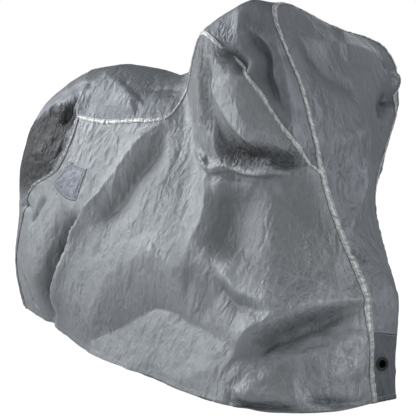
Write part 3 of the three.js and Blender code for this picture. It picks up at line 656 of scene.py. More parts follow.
class Lattice:
    """The whole cloth on a fine lattice: one knot for each crossing, shared where the two sides meet."""

    def __init__(self, cell):
        self.columns = lines_of(stops_at(SECTION_PLACES, SECTION_MARKS), cell, longest(True))
        rows = lines_of(stops_at(LEVEL_PLACES, LEVEL_MARKS), cell, longest(False))
        top = lines_of(stops_at(LEVEL_PLACES[:4], LEVEL_MARKS), cell * TOP_CELLS, longest(False))
        self.rows = np.concatenate([top[:-1], rows[self.find(rows, TOP_SEAM):]])
        self.grid, knots = {}, []
        for side in (-1, 1):
            section, level, sides = crossings(self.columns, self.rows, side)
            plain = upright(section, level, sides)
            # The crumpled zones also set where shade is painted into the cloth's colour, the whole tail among them.
            held = crumpled_and_shaded(plain) * (1 if side < 0 else FAR_CRUMPLE)
            knots.append((*cloth(section, level, sides), np.maximum(held, tail_crumple_and_shade(plain, section, level))))
            self.grid[side] = np.arange(len(plain)).reshape(len(self.columns), len(self.rows))
        self.points, self.lifts, self.crumples_and_shade = (np.concatenate(x) for x in zip(*knots))
        self.grid[1] += self.grid[1].size
        self.grid[1][0], self.grid[1][-1] = self.grid[-1][0], self.grid[-1][-1]
        self.grid[1][:, 0] = self.grid[-1][:, 0]
        self.normals = self.point_normals()
        self.cut = np.concatenate([self.unrolled(side) for side in (-1, 1)])
        self.low, self.high = self.thickness()

    @staticmethod
    def find(lines, at):
        """Which line lies on the stop at that place."""
        return int(np.flatnonzero((lines[:, 0] == at) & (lines[:, 2] == 0) & (lines[:, 3] == 0))[0])

    def column(self, at):
        return self.find(self.columns, at)

    def row(self, at):
        return self.find(self.rows, at)

    def quads(self, side, i0, i1, j0, j1):
        """Facets between two columns and two rows, facing out."""
        g = self.grid[side]
        here, on = (slice(i0, i1), slice(j0, j1)), (slice(i0 + 1, i1 + 1), slice(j0 + 1, j1 + 1))
        found = np.stack([g[here], g[on[0], here[1]], g[on], g[here[0], on[1]]], -1).reshape(-1, 4)
        return found if side > 0 else found[:, ::-1]

    def both(self, *block):
        return np.concatenate([self.quads(-1, *block), self.quads(1, *block)])

    def unrolled(self, side):
        """Distances along the section lines and level lines, as on the flat cut."""
        p = self.points[self.grid[side]]
        return np.stack([run(p, 0), run(p, 1) * side], -1).reshape(-1, 2)

    def thickness(self):
        """How far the cloth's two faces stand off its middle: more at the turned hem, less along its stitches."""
        low, high = (np.full(len(self.points), face) for face in (-CLOTH / 2, CLOTH / 2))
        stitched = len(self.rows) - len(HEM_MARKS)
        for side in (-1, 1):
            low[self.grid[side][:, stitched:]] = CLOTH / 2 - HEM_THICK
            high[self.grid[side][:, stitched + 1:]] += HEM_SWELL
            high[self.grid[side][:, stitched]] -= HEM_SUNK
        return low, high

    def point_normals(self):
        quads = self.both(0, len(self.columns) - 1, 0, len(self.rows) - 1)
        a, b, c, d = (self.points[quads[:, k]] for k in range(4))
        face = np.cross(c - a, d - b)
        total = np.zeros_like(self.points)
        for k in range(4):
            np.add.at(total, quads[:, k], face)
        return unit(total)


MADE = {}


def lattice():
    if "lattice" not in MADE:
        MADE["lattice"] = Lattice(bpy.context.scene.cover_sizes.cell / MM)
    return MADE["lattice"]


# ---- meshes
PANEL_EDGE, STRIP_EDGE = (0.7, 0.45), (0.2, 0.25)       # how far cut edges are set back and how far they bulge
LEAST_SHARE = 0.6       # keeps a sharp corner from being set back too far
OFF_FACE = 0.1          # stitches lie this far off the cloth


def rim_of(quads):
    """Edges that only one facet has, in its own sense."""
    edges = np.stack([quads, np.roll(quads, -1, axis=1)], -1).reshape(-1, 2)
    n = quads.max() + 1
    return edges[~np.isin(edges[:, 0] * n + edges[:, 1], edges[:, 1] * n + edges[:, 0])]


def sheet_body(points, normals, quads, low, high, edge):
    """One closed sheet over facets, from low to high off their knots, its cut edges set back and rounded: its
    points, faces, sharp edges, and the knot that each point comes from."""
    inset, bulge = edge
    used, index = np.unique(quads, return_inverse=True)
    quads = index.reshape(-1, 4)
    p, n = points[used], normals[used]
    low, high = (np.broadcast_to(x, len(points))[used, None] for x in (low, high))
    rim = rim_of(quads)
    a, b = rim.T
    inward = unit(np.cross(n[a] + n[b], p[b] - p[a]))
    push = np.zeros_like(p)
    np.add.at(push, a, inward)
    np.add.at(push, b, inward)
    onto = push / np.maximum(LEAST_SHARE, (push ** 2).sum(-1) / 2)[:, None]
    p = p + onto * inset
    outer, inner = p + n * high, p + n * low
    ring, m = np.unique(rim), len(p)
    middle = (outer + inner)[ring] / 2 - unit(onto[ring]) * bulge
    place = np.zeros(m, int)
    place[ring] = np.arange(len(ring)) + 2 * m
    faces = [
        quads, quads[:, ::-1] + m,
        np.stack([b, a, place[a], place[b]], -1), np.stack([place[b], place[a], a + m, b + m], -1),
    ]
    body = np.concatenate([outer, inner, middle])
    return body, np.concatenate(faces), np.concatenate([rim, rim + m]), np.concatenate([used, used, used[ring]])


def make_mesh(name, points, faces, sharp=None, uv=None, marks=None):
    """A mesh object from points in mm and faces of four corners, with marks as named values of its points."""
    mesh = bpy.data.meshes.new(name)
    mesh.vertices.add(len(points))
    mesh.vertices.foreach_set("co", (points * MM).astype(np.float32).ravel())
    mesh.loops.add(faces.size)
    mesh.loops.foreach_set("vertex_index", faces.ravel().astype(np.int32))
    mesh.polygons.add(len(faces))
    mesh.polygons.foreach_set("loop_start", np.arange(0, faces.size, faces.shape[1], dtype=np.int32))
    mesh.update(calc_edges=True)
    mesh.polygons.foreach_set("use_smooth", np.ones(len(faces), bool))
    if sharp is not None:
        ends = np.zeros(2 * len(mesh.edges), np.int32)
        mesh.edges.foreach_get("vertices", ends)
        ends = np.sort(ends.reshape(-1, 2), axis=1).astype(np.int64)
        known = np.sort(sharp, axis=1)
        key = np.array([len(points), 1])
        marked = np.isin(ends @ key, known @ key)
        mesh.attributes.new("sharp_edge", "BOOLEAN", "EDGE").data.foreach_set("value", marked)
    if uv is not None:
        layer = mesh.uv_layers.new(name="cut")
        layer.data.foreach_set("uv", (uv[faces.ravel()] * MM).astype(np.float32).ravel())
    for mark, values in (marks or {}).items():
        mesh.attributes.new(mark, "FLOAT", "POINT").data.foreach_set("value", values.astype(np.float32))
    if mesh.validate():
        raise RuntimeError(f"{name} has faces that are not valid")
    piece = bpy.data.objects.new(name, mesh)
    bpy.context.scene.collection.objects.link(piece)
    return piece


def dressed(piece, look, cad_node):
    """Gives a piece its finish, hangs it on the body that it rides on, and hides the CAD solid that it stands for."""
    piece.data.materials.append(finish(look))
    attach(piece, BODY)
    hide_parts(cad_node)


# ---- materials
def linear(hex_value):
    channels = [int(hex_value[k:k + 2], 16) / 255 for k in (1, 3, 5)]
    return (*((c / 12.92 if c <= 0.04045 else ((c + 0.055) / 1.055) ** 2.4) for c in channels), 1)


def socket(sockets, name):
    """A socket by number, or by name among those in use: a mix node has one of each name for each kind of data."""
    return sockets[name] if isinstance(name, int) else next(s for s in sockets if s.name == name and s.enabled)


def node(tree, kind, inputs=None, **settings):
    """One node with its settings, and its inputs by name or number: a value, a node, or (node, output)."""
    made = tree.nodes.new(kind)
    for name, value in settings.items():
        setattr(made, name, value)
    for name, value in (inputs or {}).items():
        source, output = value if isinstance(value, tuple) and isinstance(value[0], bpy.types.Node) else (value, 0)
        if isinstance(source, bpy.types.Node):
            tree.links.new(socket(source.outputs, output), socket(made.inputs, name))
        else:
            socket(made.inputs, name).default_value = value
    return made


def made_of(name, surface, *given):
    """A material of that name, round the shader that one of the functions below lays out."""
    material = bpy.data.materials.new(name)
    material.use_nodes = True
    tree = material.node_tree
    tree.nodes.clear()
    shader = surface(tree, node(tree, "ShaderNodeTexCoord"), *given)
    node(tree, "ShaderNodeOutputMaterial", {"Surface": shader})
    return material


CREASES = (
    # facets per metre, stretch along the drag, turn in degrees, slope of a facet, times the crumple
    (9, 0.42, 24, 0.13, 0.3),
    (22, 0.45, -30, 0.18, 1.2),
    (55, 0.5, 12, 0.2, 2.2),
    (130, 0.55, -50, 0.17, 2.2),
)
CREASE_LINE = 0.05      # half width of a whitened crease, in facets
PAINTED_SHADE_SHARE = (0.22, 0.215, 0.21)            # share of the colour left where the most shade is painted, over the worst crumpled zones
SILVER_COAT, GREY_COAT = (0.7, 0.58), (0.15, 0.55)      # metallic and roughness


def creased(tree, coords, crumple):
    """Height in metres of flat facets that meet in sharp creases, as a stiff coat folds, and the creases' lines."""
    total, lines = None, None
    for facets, stretch, turn, slope, gain in CREASES:
        drag = node(tree, "ShaderNodeMapping", {
            "Vector": (coords, "Object"), "Rotation": (0, math.radians(turn), 0), "Scale": (1, 1, stretch)})
        stir = node(tree, "ShaderNodeTexNoise", {"Vector": drag, "Scale": facets * 0.6, "Detail": 2})
        by = node(tree, "ShaderNodeVectorMath", {0: (stir, "Color"), "Scale": 0.9 / facets}, operation="SCALE")
        moved = node(tree, "ShaderNodeVectorMath", {0: drag, 1: by}, operation="ADD")
        facet = node(tree, "ShaderNodeTexVoronoi", {"Vector": moved, "Scale": facets}, feature="DISTANCE_TO_EDGE")
        sense = node(tree, "ShaderNodeTexNoise", {"Vector": drag, "Scale": facets * 0.35, "Detail": 1})
        amount = node(tree, "ShaderNodeMapRange", {
            "Value": (sense, "Fac"), "From Min": 0.35, "From Max": 0.65,
            "To Min": -slope / facets, "To Max": slope / facets})
        more = node(tree, "ShaderNodeMath", {0: (crumple, "Fac"), 1: gain, 2: 1}, operation="MULTIPLY_ADD")
        scaled = node(tree, "ShaderNodeMath", {0: amount, 1: more}, operation="MULTIPLY")
        line = node(tree, "ShaderNodeMapRange", {"Value": facet, "From Max": CREASE_LINE, "To Min": 1, "To Max": 0})
        sum_so_far = {} if total is None else {2: total}
        total = node(tree, "ShaderNodeMath", {0: facet, 1: scaled, **sum_so_far}, operation="MULTIPLY_ADD")
        lines = line if lines is None else node(tree, "ShaderNodeMath", {0: line, 1: lines}, operation="MAXIMUM")
    return total, lines


def coated_cloth(tree, coords, hex_value, metallic, roughness):
    """Coated polyester taffeta. The thin metallic coat gives a broad soft sheen, the close weave a faint
    grain, and the stiff coat folds in flat facets with sharp creases, closest where it is crumpled. Shade is painted
    into
    its colour: darker in the troughs of the narrower folds and lighter on their crests, and a dark brownish grey where
    it is crumpled. Its threads are 0.5 mm apart, drawn 4 mm apart so that they show at all."""
    relief, crumple = (node(tree, "ShaderNodeAttribute", attribute_name=mark) for mark in ("relief", "crumple"))
    patchy = node(tree, "ShaderNodeTexNoise", {
        "Vector": (coords, "Object"), "Scale": 5.5, "Detail": 4, "Roughness": 0.6})
    worn = node(tree, "ShaderNodeMapping", {"Vector": (coords, "Object"), "Scale": (1, 1, 0.3)})
    streaks = node(tree, "ShaderNodeTexNoise", {"Vector": worn, "Scale": 150, "Detail": 3, "Roughness": 0.7})
    warp, weft = (
        node(tree, "ShaderNodeTexWave", {"Vector": (coords, "UV"), "Scale": 80}, wave_type="BANDS", bands_direction=way)
        for way in "XY")
    woven = node(tree, "ShaderNodeMath", {0: (warp, "Fac"), 1: (weft, "Fac")}, operation="MULTIPLY")
    height, lines = creased(tree, coords, crumple)
    bump = node(tree, "ShaderNodeBump", {"Height": height, "Strength": 1, "Distance": 1})
    grain = node(tree, "ShaderNodeBump", {"Height": woven, "Normal": bump, "Strength": 0.12, "Distance": 0.0006})
    # Painted shade and light: the colour is darker in the troughs of the narrower folds and lighter on their crests.
    tone = node(tree, "ShaderNodeMapRange", {
        "Value": (relief, "Fac"), "From Min": -2.4, "From Max": 1, "To Min": 0.34, "To Max": 1.14})
    mottle, streak, rough = (
        node(tree, "ShaderNodeMapRange", {
            "Value": (source, "Fac"), "From Min": 0.3, "From Max": 0.7, "To Min": least, "To Max": most})
        for source, least, most in (
            (patchy, 0.94, 1.05), (streaks, 0.93, 1.07), (patchy, roughness - 0.06, roughness + 0.08)))
    cracked = node(tree, "ShaderNodeMath", {0: (crumple, "Fac"), 1: 0.6, 2: 0.06}, operation="MULTIPLY_ADD")
    whiter = node(tree, "ShaderNodeMath", {0: lines, 1: cracked, 2: 1}, operation="MULTIPLY_ADD")
    for factor in (mottle, streak, whiter):
        tone = node(tree, "ShaderNodeMath", {0: tone, 1: factor}, operation="MULTIPLY")
    # Painted shade: the colour turns a dark brownish grey where the coat is crumpled, over the tail, under the bulge,
    # in the column and in the hollow behind the side ridge.
    painted_shade = node(tree, "ShaderNodeMapRange", {"Value": (crumple, "Fac"), "From Min": 0.3, "From Max": 1.35},
                interpolation_type="SMOOTHSTEP")
    base = linear(hex_value)
    shaded_colour = (*(c * share for c, share in zip(base, PAINTED_SHADE_SHARE)), 1)
    mixed = node(tree, "ShaderNodeMix", {0: painted_shade, "A": base, "B": shaded_colour}, data_type="RGBA")
    colour = node(tree, "ShaderNodeVectorMath", {0: (mixed, "Result"), "Scale": tone}, operation="SCALE")
    return node(tree, "ShaderNodeBsdfPrincipled", {
        "Base Color": colour, "Roughness": rough, "Normal": grain, "Metallic": metallic, "IOR": 1.5})


def crinkled_tape(tree, coords, hex_value, dull_value):
    """Woven polyester tape with a bright metallic coat, gathered by its two rows of stitches: a painted glint on each
    gather, painted shade between them, and the plain colour of the cloth where it has been rubbed dull."""
    relief, dull = (node(tree, "ShaderNodeAttribute", attribute_name=mark) for mark in ("relief", "dull"))
    fine = node(tree, "ShaderNodeTexNoise", {
        "Vector": (coords, "Object"), "Scale": 150, "Detail": 3, "Roughness": 0.6})
    bump = node(tree, "ShaderNodeBump", {"Height": (fine, "Fac"), "Strength": 0.5, "Distance": 0.002})
    # Painted glint on each gather and painted shade between them.
    gather_light_and_shade = node(tree, "ShaderNodeMapRange", {
        "Value": (relief, "Fac"), "From Min": 0.15, "From Max": 0.85, "To Min": 0.45, "To Max": 1.2})
    shade = node(tree, "ShaderNodeMapRange", {
        "Value": (fine, "Fac"), "From Min": 0.3, "From Max": 0.7, "To Min": 0.8, "To Max": 1.1})
    tone = node(tree, "ShaderNodeMath", {0: shade, 1: gather_light_and_shade}, operation="MULTIPLY")
    mixed = node(tree, "ShaderNodeMix", {
        0: (dull, "Fac"), "A": linear(hex_value), "B": linear(dull_value)}, data_type="RGBA")
    colour = node(tree, "ShaderNodeVectorMath", {0: (mixed, "Result"), "Scale": tone}, operation="SCALE")
    return node(tree, "ShaderNodeBsdfPrincipled", {
        "Base Color": colour, "Normal": bump, "Metallic": 0.25, "Roughness": 0.4, "IOR": 1.5})


def moulded_plastic(tree, coords, hex_value):
    """Injection moulded polypropylene, spark eroded finish: an even satin with a very fine pebble."""
    pebble = node(tree, "ShaderNodeTexNoise", {"Vector": (coords, "Object"), "Scale": 900, "Detail": 2})
    bump = node(tree, "ShaderNodeBump", {"Height": (pebble, "Fac"), "Strength": 0.25, "Distance": 0.0004})
    rough = node(tree, "ShaderNodeMapRange", {"Value": (pebble, "Fac"), "To Min": 0.38, "To Max": 0.52})
    return node(tree, "ShaderNodeBsdfPrincipled", {
        "Base Color": linear(hex_value), "Roughness": rough, "Normal": bump, "IOR": 1.49})


def spun_thread(tree, coords, hex_value):
    """Spun polyester sewing thread: dull, with a twist of about 1 mm that catches a little light."""
    twist = node(tree, "ShaderNodeTexWave", {"Vector": (coords, "Object"), "Scale": 300, "Distortion": 1.5})
    bump = node(tree, "ShaderNodeBump", {"Height": (twist, "Fac"), "Strength": 0.3, "Distance": 0.0003})
    return node(tree, "ShaderNodeBsdfPrincipled", {
        "Base Color": linear(hex_value), "Roughness": 0.7, "Sheen Weight": 0.2, "Normal": bump})


def finish(name):
    """The named finish, made once."""
    if name not in MADE:
        colours = bpy.context.scene.cover_colours
        given = {
            "light_cloth": ("Coated polyester, silver", coated_cloth, colours.light_cloth, *SILVER_COAT),
            "dark_cloth": ("Coated polyester, grey", coated_cloth, colours.dark_cloth, *SILVER_COAT),
            "band_cloth": ("Coated polyester, dark grey", coated_cloth, colours.band_cloth, *GREY_COAT),
            "patch_cloth": ("Coated polyester, bluish silver", coated_cloth, colours.patch_cloth, *SILVER_COAT),
            "seam_tape": ("Gathered seam tape, silver", crinkled_tape, colours.seam_tape, colours.light_cloth),
            "thread": ("Spun polyester thread", spun_thread, colours.thread),
            "black_plastic": ("Moulded polypropylene, black", moulded_plastic, colours.plastic),
        }[name]
        MADE[name] = made_of(*given)
    return MADE[name]


# ---- panels
SHADE_FOLD_MM = 20             # mm of fold for a relief of 1 in the shade painted into the folds


def panel(name, slot, quads, extra=None):
    """One panel of the cover over some facets of the lattice, in place of the CAD node of that name; extra are
    more points, their normals and facets."""
    whole = lattice()
    points, normals, low, high, cut = whole.points, whole.normals, whole.low, whole.high, whole.cut
    # These marks paint shade into the cloth's colour: in its folds and over its crumpled zones.
    marks = {"relief": whole.lifts / SHADE_FOLD_MM, "crumple": whole.crumples_and_shade}
    if extra is not None:
        more, their_normals, facets = extra
        points, normals = np.concatenate([points, more]), np.concatenate([normals, their_normals])
        low, high = (np.pad(x, (0, len(more)), constant_values=face)
                     for x, face in ((low, -CLOTH / 2), (high, CLOTH / 2)))
        cut = np.concatenate([cut, more[:, ::2]])
        marks = {key: np.pad(values, (0, len(more))) for key, values in marks.items()}
        quads = np.concatenate([quads, facets])
    body, faces, sharp, place = sheet_body(points, normals, quads, low, high, PANEL_EDGE)
    marks = {key: values[place] for key, values in marks.items()}
    dressed(make_mesh("cover_" + name, body, faces, sharp, cut[place], marks), slot, name)


def round_spokes(turn, across, up):
    """Directions out from a middle, at angles from across towards up."""
    return np.cos(turn)[:, None] * across + np.sin(turn)[:, None] * up


def ring_facets(quads, spot, start):
    """The facets round an eyelet give way to flat rings about its hole."""
    whole = lattice()
    centre, normal = spot
    close = length_of(whole.points[quads] - centre).min(axis=1) < EYELET["flat"] + EYELET["clear"]
    follows = dict(rim_of(quads[close]).tolist())
    loop = [next(iter(follows))]
    while follows[loop[-1]] != loop[0]:
        loop.append(follows[loop[-1]])
    d = whole.points[loop] - centre
    across = unit(d[0] - (d[0] @ normal) * normal)
    up = np.cross(normal, across)
    spokes = round_spokes(np.arctan2(d @ up, d @ across), across, up)
    radii = (EYELET["flat"], (EYELET["flat"] + EYELET["hole"]) / 2, EYELET["hole"])
    ids = [np.array(loop)] + [start + k * len(loop) + np.arange(len(loop)) for k in range(len(radii))]
    faces = [np.stack([a, np.roll(a, -1), np.roll(b, -1), b], -1) for a, b in zip(ids, ids[1:])]
    return quads[~close], np.concatenate([centre + r * spokes for r in radii]), np.concatenate(faces)


def band_facets():
    """The band's facets, and the points, normals and facets round its two eyelets."""
    whole = lattice()
    quads = whole.both(whole.column(FRONT_SEAM), len(whole.columns) - 1, whole.row(BAND_TOP), len(whole.rows) - 1)
    start, rings = len(whole.points), []
    for spot in SPOTS:
        quads, points, faces = ring_facets(quads, spot, start)
        start += len(points)
        rings.append((points, np.tile(spot[1], (len(points), 1)), faces))
    return quads, [np.concatenate(x) for x in zip(*rings)]


# ---- strips sewn on: tapes and the patch
SEWN_HALF = 12.5        # half of the tape as it lies, with its edges curled out
STITCH_ROW = 8.5
ACROSS_TAPE = (-SEWN_HALF, -10.6, -STITCH_ROW, -4.2, 0, 4.2, STITCH_ROW, 10.6, SEWN_HALF)
ALONG_TAPE = 3.5
# Gathers: share that a row of stitches holds down and how far beside it, size across, least rise and gain
GATHERS = {"held": 0.75, "beside": 1.6, "across": 26, "least": 0.55, "gain": 0.9}
# A line inside the cover that its outside faces away from: share of along, lean, how far back, how high
SPINE = {"share": 0.75, "lean": 0.19, "side": -120, "height": 450}
# The patch's mesh lines, mm from its edge, and cells between them; its row of stitches, and how it puffs up
PATCH_MARKS, PATCH_CELLS, PATCH_ROW = (3, 6, 9, 12), 14, 9
PUFF = {"beside": 2.2, "edge": 0.9, "edge width": 3, "middle": 1.6, "from": 10, "middle width": 25, "held": 0.7}
PATCH_STITCH_SHADE, PATCH_CRUMPLE = 0.9, 0.5
SEEDS = {"top": 3, "rear": 7, "front": 11}              # places in the noise for the gathers of each tape
FRONT_DULL = 0.35       # how dull the front tape is rubbed, where the rear one is 1


def beside(at, before, after, marks):
    """Lattice lines at fixed distances before and after a stop."""
    return np.array([(before, at, 1, mark) if mark < 0 else (at, after, 0, mark) for mark in marks], float)


def strip_points(columns, rows, side):
    section, level, sides = crossings(columns, rows, side)
    return cloth(section, level, sides)[0].reshape(len(columns), len(rows), 3)


def strip_normals(p):
    """Normals of a grid of points, out of the cover."""
    n = unit(np.cross(np.gradient(p, axis=0), np.gradient(p, axis=1)))
    x, z = p[..., 0], p[..., 2]
    spine = np.stack([SPINE["share"] * x, SPINE["lean"] * z + SPINE["side"], 0 * x + SPINE["height"]], -1)
    return n * np.sign((n * (p - spine)).sum(-1))[..., None]


def gathers(along, across, height, length, seed):
    """Gathers across a strip that its rows of stitches hold down."""
    held = 1 - GATHERS["held"] * np.exp(-((np.abs(across) - STITCH_ROW) / GATHERS["beside"]) ** 2)
    q = np.stack([along / length, across / GATHERS["across"], 0 * along + seed], -1).reshape(-1, 3)
    wave = noise(q) + 0.5 * noise(q * 2.1 + 3)
    return height * held * (GATHERS["least"] + GATHERS["gain"] * wave.reshape(along.shape))


def strip(p, normals, top, cut, marks):
    """What a sewn strip is made from: points, normals, facets, heights of its face, places on its cut, marks."""
    ids = np.arange(top.size).reshape(top.shape)
    quads = np.stack([ids[:-1, :-1], ids[1:, :-1], ids[1:, 1:], ids[:-1, 1:]], -1).reshape(-1, 4)
    p, normals = p.reshape(-1, 3), normals.reshape(-1, 3)
    a, b, c = (p[quads[:, k]] for k in (0, 1, 2))
    if (np.cross(b - a, c - a) * normals[quads[:, 0]]).sum() < 0:
        quads = quads[:, ::-1]
    return p, normals, quads, top.ravel(), cut.reshape(-1, 2), {key: x.ravel() for key, x in marks.items()}


def sewn_strips(name, slot, look, *strips):
    """Several closed strips as one piece, in place of the CAD node of that name."""
    parts, marks, start = [], [], 0
    for p, normals, quads, top, cut, mark in strips:
        body, faces, sharp, place = sheet_body(p, normals, quads, CLOTH / 2 + GAP, top, STRIP_EDGE)
        parts.append((body, faces + start, sharp + start, cut[place]))
        marks.append({key: values[place] for key, values in mark.items()})
        start += len(body)
    together = {key: np.concatenate([mark[key] for mark in marks]) for key in marks[0]}
    dressed(make_mesh("cover_" + name, *(np.concatenate(x) for x in zip(*parts)), together), look, name)


def keep_path(*paths):
    """Keeps paths of points for the rows of stitches."""
    MADE.setdefault("stitch paths", []).extend(paths)


def tape_strip(grid, seed, dull):
    """One seam's tape from a grid of points, along by across."""
    sizes = bpy.context.scene.cover_sizes
    normals = strip_normals(grid)
    middle = len(ACROSS_TAPE) // 2
    along = np.broadcast_to(run(grid, 0)[:, middle, None], grid.shape[:2])
    across = np.broadcast_to(np.array(ACROSS_TAPE, float), along.shape)
    height = sizes.tape_ripple / MM
    rise = np.maximum(0, gathers(along, across, height, sizes.tape_ripple_length / MM, seed))
    top = CLOTH / 2 + GAP + sizes.tape_thickness / MM + rise
    on_top = grid + normals * (top + OFF_FACE)[..., None]
    keep_path(*(on_top[:, ACROSS_TAPE.index(row)] for row in (-STITCH_ROW, STITCH_ROW)))
    # The gathers' height paints a glint on each gather and shade between them.
    marks = {"relief": rise / height, "dull": np.full(rise.shape, float(dull))}
    return strip(grid, normals, top, np.stack([along, across], -1), marks)


def seam_along_top(side):
    """The tape of a side seam, from the rear seam to the front seam."""
    columns = lines_of(stops_at(SECTION_PLACES[2:-1]), ALONG_TAPE, longest(True))
    return strip_points(columns, beside(TOP_SEAM, 2, PATCH["top"], ACROSS_TAPE), side)


def seam_down(at, before, after, places, side):
    """The tape of a seam that runs down, along its length by across it."""
    rows = lines_of(stops_at(places), ALONG_TAPE, longest(False))
    return strip_points(beside(at, before, after, ACROSS_TAPE), rows, side).transpose(1, 0, 2)


def patch_strip():
    """The patch, held down along its one row of stitches and puffed up inside it, with shade painted along the stitches
    and round its edge and light painted on its puffed middle.
    """
    def edged(*ends):
        cells = PATCH_CELLS + 2 * PATCH_MARKS[-1]
        return lines_of(stops_at(ends, {ends[0]: ((), PATCH_MARKS), ends[1]: (PATCH_MARKS, ())}), 1, lambda *_: cells)

    p = strip_points(edged(PATCH["from"], PATCH["to"]), edged(PATCH["top"], PATCH["foot"]), -1)
    normals, along, down = strip_normals(p), run(p, 0), run(p, 1)
    inset = np.minimum(np.minimum(along, along[-1:] - along), np.minimum(down, down[:, -1:] - down))
    held = np.exp(-((inset - PATCH_ROW) / PUFF["beside"]) ** 2)
    puff = PUFF["edge"] * smooth(inset / PUFF["edge width"])
    puff = puff + PUFF["middle"] * smooth((inset - PUFF["from"]) / PUFF["middle width"])
    top = CLOTH / 2 + GAP + bpy.context.scene.cover_sizes.tape_thickness / MM + puff * (1 - PUFF["held"] * held)
    on_top = p + normals * (top + OFF_FACE)[..., None]
    i = PATCH_MARKS.index(PATCH_ROW) + 1
    sides = (on_top[i:-i, i], on_top[-i - 1, i:-i], on_top[i:-i, -i - 1][::-1], on_top[i, i:-i][::-1])
    keep_path(np.concatenate(sides))
    # Painted shade along the stitches and round the edge, painted light over the puffed middle.
    relief = 0.5 * smooth(inset / 6) - PATCH_STITCH_SHADE * (held + np.exp(-inset / 2))
    marks = {"relief": relief, "crumple": np.full(inset.shape, PATCH_CRUMPLE)}
    return strip(p, normals, top, np.stack([along, down], -1), marks)


# ---- eyelet rings
# A ring's wall past its bore, how far its flange stands off the cloth and how thick it is, how far its mouth lies
# in, and the rounding of its mouth, lip, foot and root, mm
RING = {"wall": 2.2, "off": 0.5, "thick": 1.9, "dip": 0.3}
RING_ROUND = {"mouth": 1.2, "lip": 0.8, "foot": 0.3, "root": 0.2}
RING_SIDES, ROUND_STEPS, ROUND_MOST = 56, (0, 0.33, 0.67, 1), 0.45


def eyelet_ring(name, spot):
    """A moulded ring pressed into an eyelet: a barrel and two flanges with rounded lips."""
    sizes = bpy.context.scene.cover_sizes
    centre, normal = spot
    bore, flange = sizes.ring_bore / MM, sizes.ring_flange / MM
    foot = CLOTH / 2 + RING["off"]
    lip = foot + RING["thick"]
    upper = [
        (bore, lip - RING["dip"], RING_ROUND["mouth"]), (flange, lip, RING_ROUND["lip"]),
        (flange, foot, RING_ROUND["foot"]), (bore + RING["wall"], foot, RING_ROUND["root"]),
    ]
    corners = upper + [(r, -z, rounding) for r, z, rounding in reversed(upper)]
    outline = []
    for before, (*here, rounding), after in zip(corners[-1:] + corners[:-1], corners, corners[1:] + corners[:1]):
        here = np.array(here)
        sides = [np.array(other[:2]) - here for other in (before, after)]
        a, b = (here + unit(d) * min(rounding, length_of(d) * ROUND_MOST) for d in sides)
        outline += [(1 - t) ** 2 * a + 2 * t * (1 - t) * here + t * t * b for t in ROUND_STEPS]
    outline = np.array(outline)
    across = unit(np.cross(normal, [0, 0, 1.0]))
    spokes = round_spokes(np.arange(RING_SIDES) / RING_SIDES * 2 * math.pi, across, np.cross(normal, across))
    points = centre + outline[None, :, :1] * spokes[:, None] + outline[None, :, 1:] * normal
    ids = np.arange(RING_SIDES * len(outline)).reshape(RING_SIDES, -1)
    around, on = np.roll(ids, -1, axis=0), np.roll(ids, -1, axis=1)
    faces = np.stack([ids, on, np.roll(on, -1, axis=0), around], -1).reshape(-1, 4)
    points = points.reshape(-1, 3)
    a, b, c = (points[faces[:, k]] for k in (0, 1, 2))
    if (a * np.cross(b, c)).sum() < 0:
        faces = faces[:, ::-1]
    dressed(make_mesh(name, points, faces), "black_plastic", name)


# ---- sewing
def sewing_tree():
    """Stitches laid at an even pitch along every edge path of a mesh."""
    tree = bpy.data.node_groups.new("Row of stitches", "GeometryNodeTree")
    face = tree.interface
    face.new_socket(name="Paths", in_out="INPUT", socket_type="NodeSocketGeometry")
    for name in ("Pitch", "Stitch length", "Thread"):
        face.new_socket(name=name, in_out="INPUT", socket_type="NodeSocketFloat")
    face.new_socket(name="Finish", in_out="INPUT", socket_type="NodeSocketMaterial")
    face.new_socket(name="Stitches", in_out="OUTPUT", socket_type="NodeSocketGeometry")
    given = node(tree, "NodeGroupInput")
    curve = node(tree, "GeometryNodeMeshToCurve", {"Mesh": (given, "Paths")})
    places = node(tree, "GeometryNodeCurveToPoints", {"Curve": curve, "Length": (given, "Pitch")}, mode="LENGTH")
    aligned = node(tree, "FunctionNodeAlignRotationToVector", {"Vector": (places, "Tangent")}, axis="Z")
    size = node(tree, "ShaderNodeCombineXYZ", {
        "X": (given, "Thread"), "Y": (given, "Thread"), "Z": (given, "Stitch length")})
    bead = node(tree, "GeometryNodeMeshUVSphere", {"Segments": 6, "Rings": 4, "Radius": 0.5})
    smoothed = node(tree, "GeometryNodeSetShadeSmooth", {"Geometry": (bead, "Mesh")})
    laid = node(tree, "GeometryNodeInstanceOnPoints", {
        "Points": (places, "Points"), "Instance": smoothed, "Rotation": (aligned, "Rotation"), "Scale": size})
    real = node(tree, "GeometryNodeRealizeInstances", {"Geometry": laid})
    dyed = node(tree, "GeometryNodeSetMaterial", {"Geometry": real, "Material": (given, "Finish")})
    node(tree, "NodeGroupOutput", {"Stitches": dyed})
    return tree


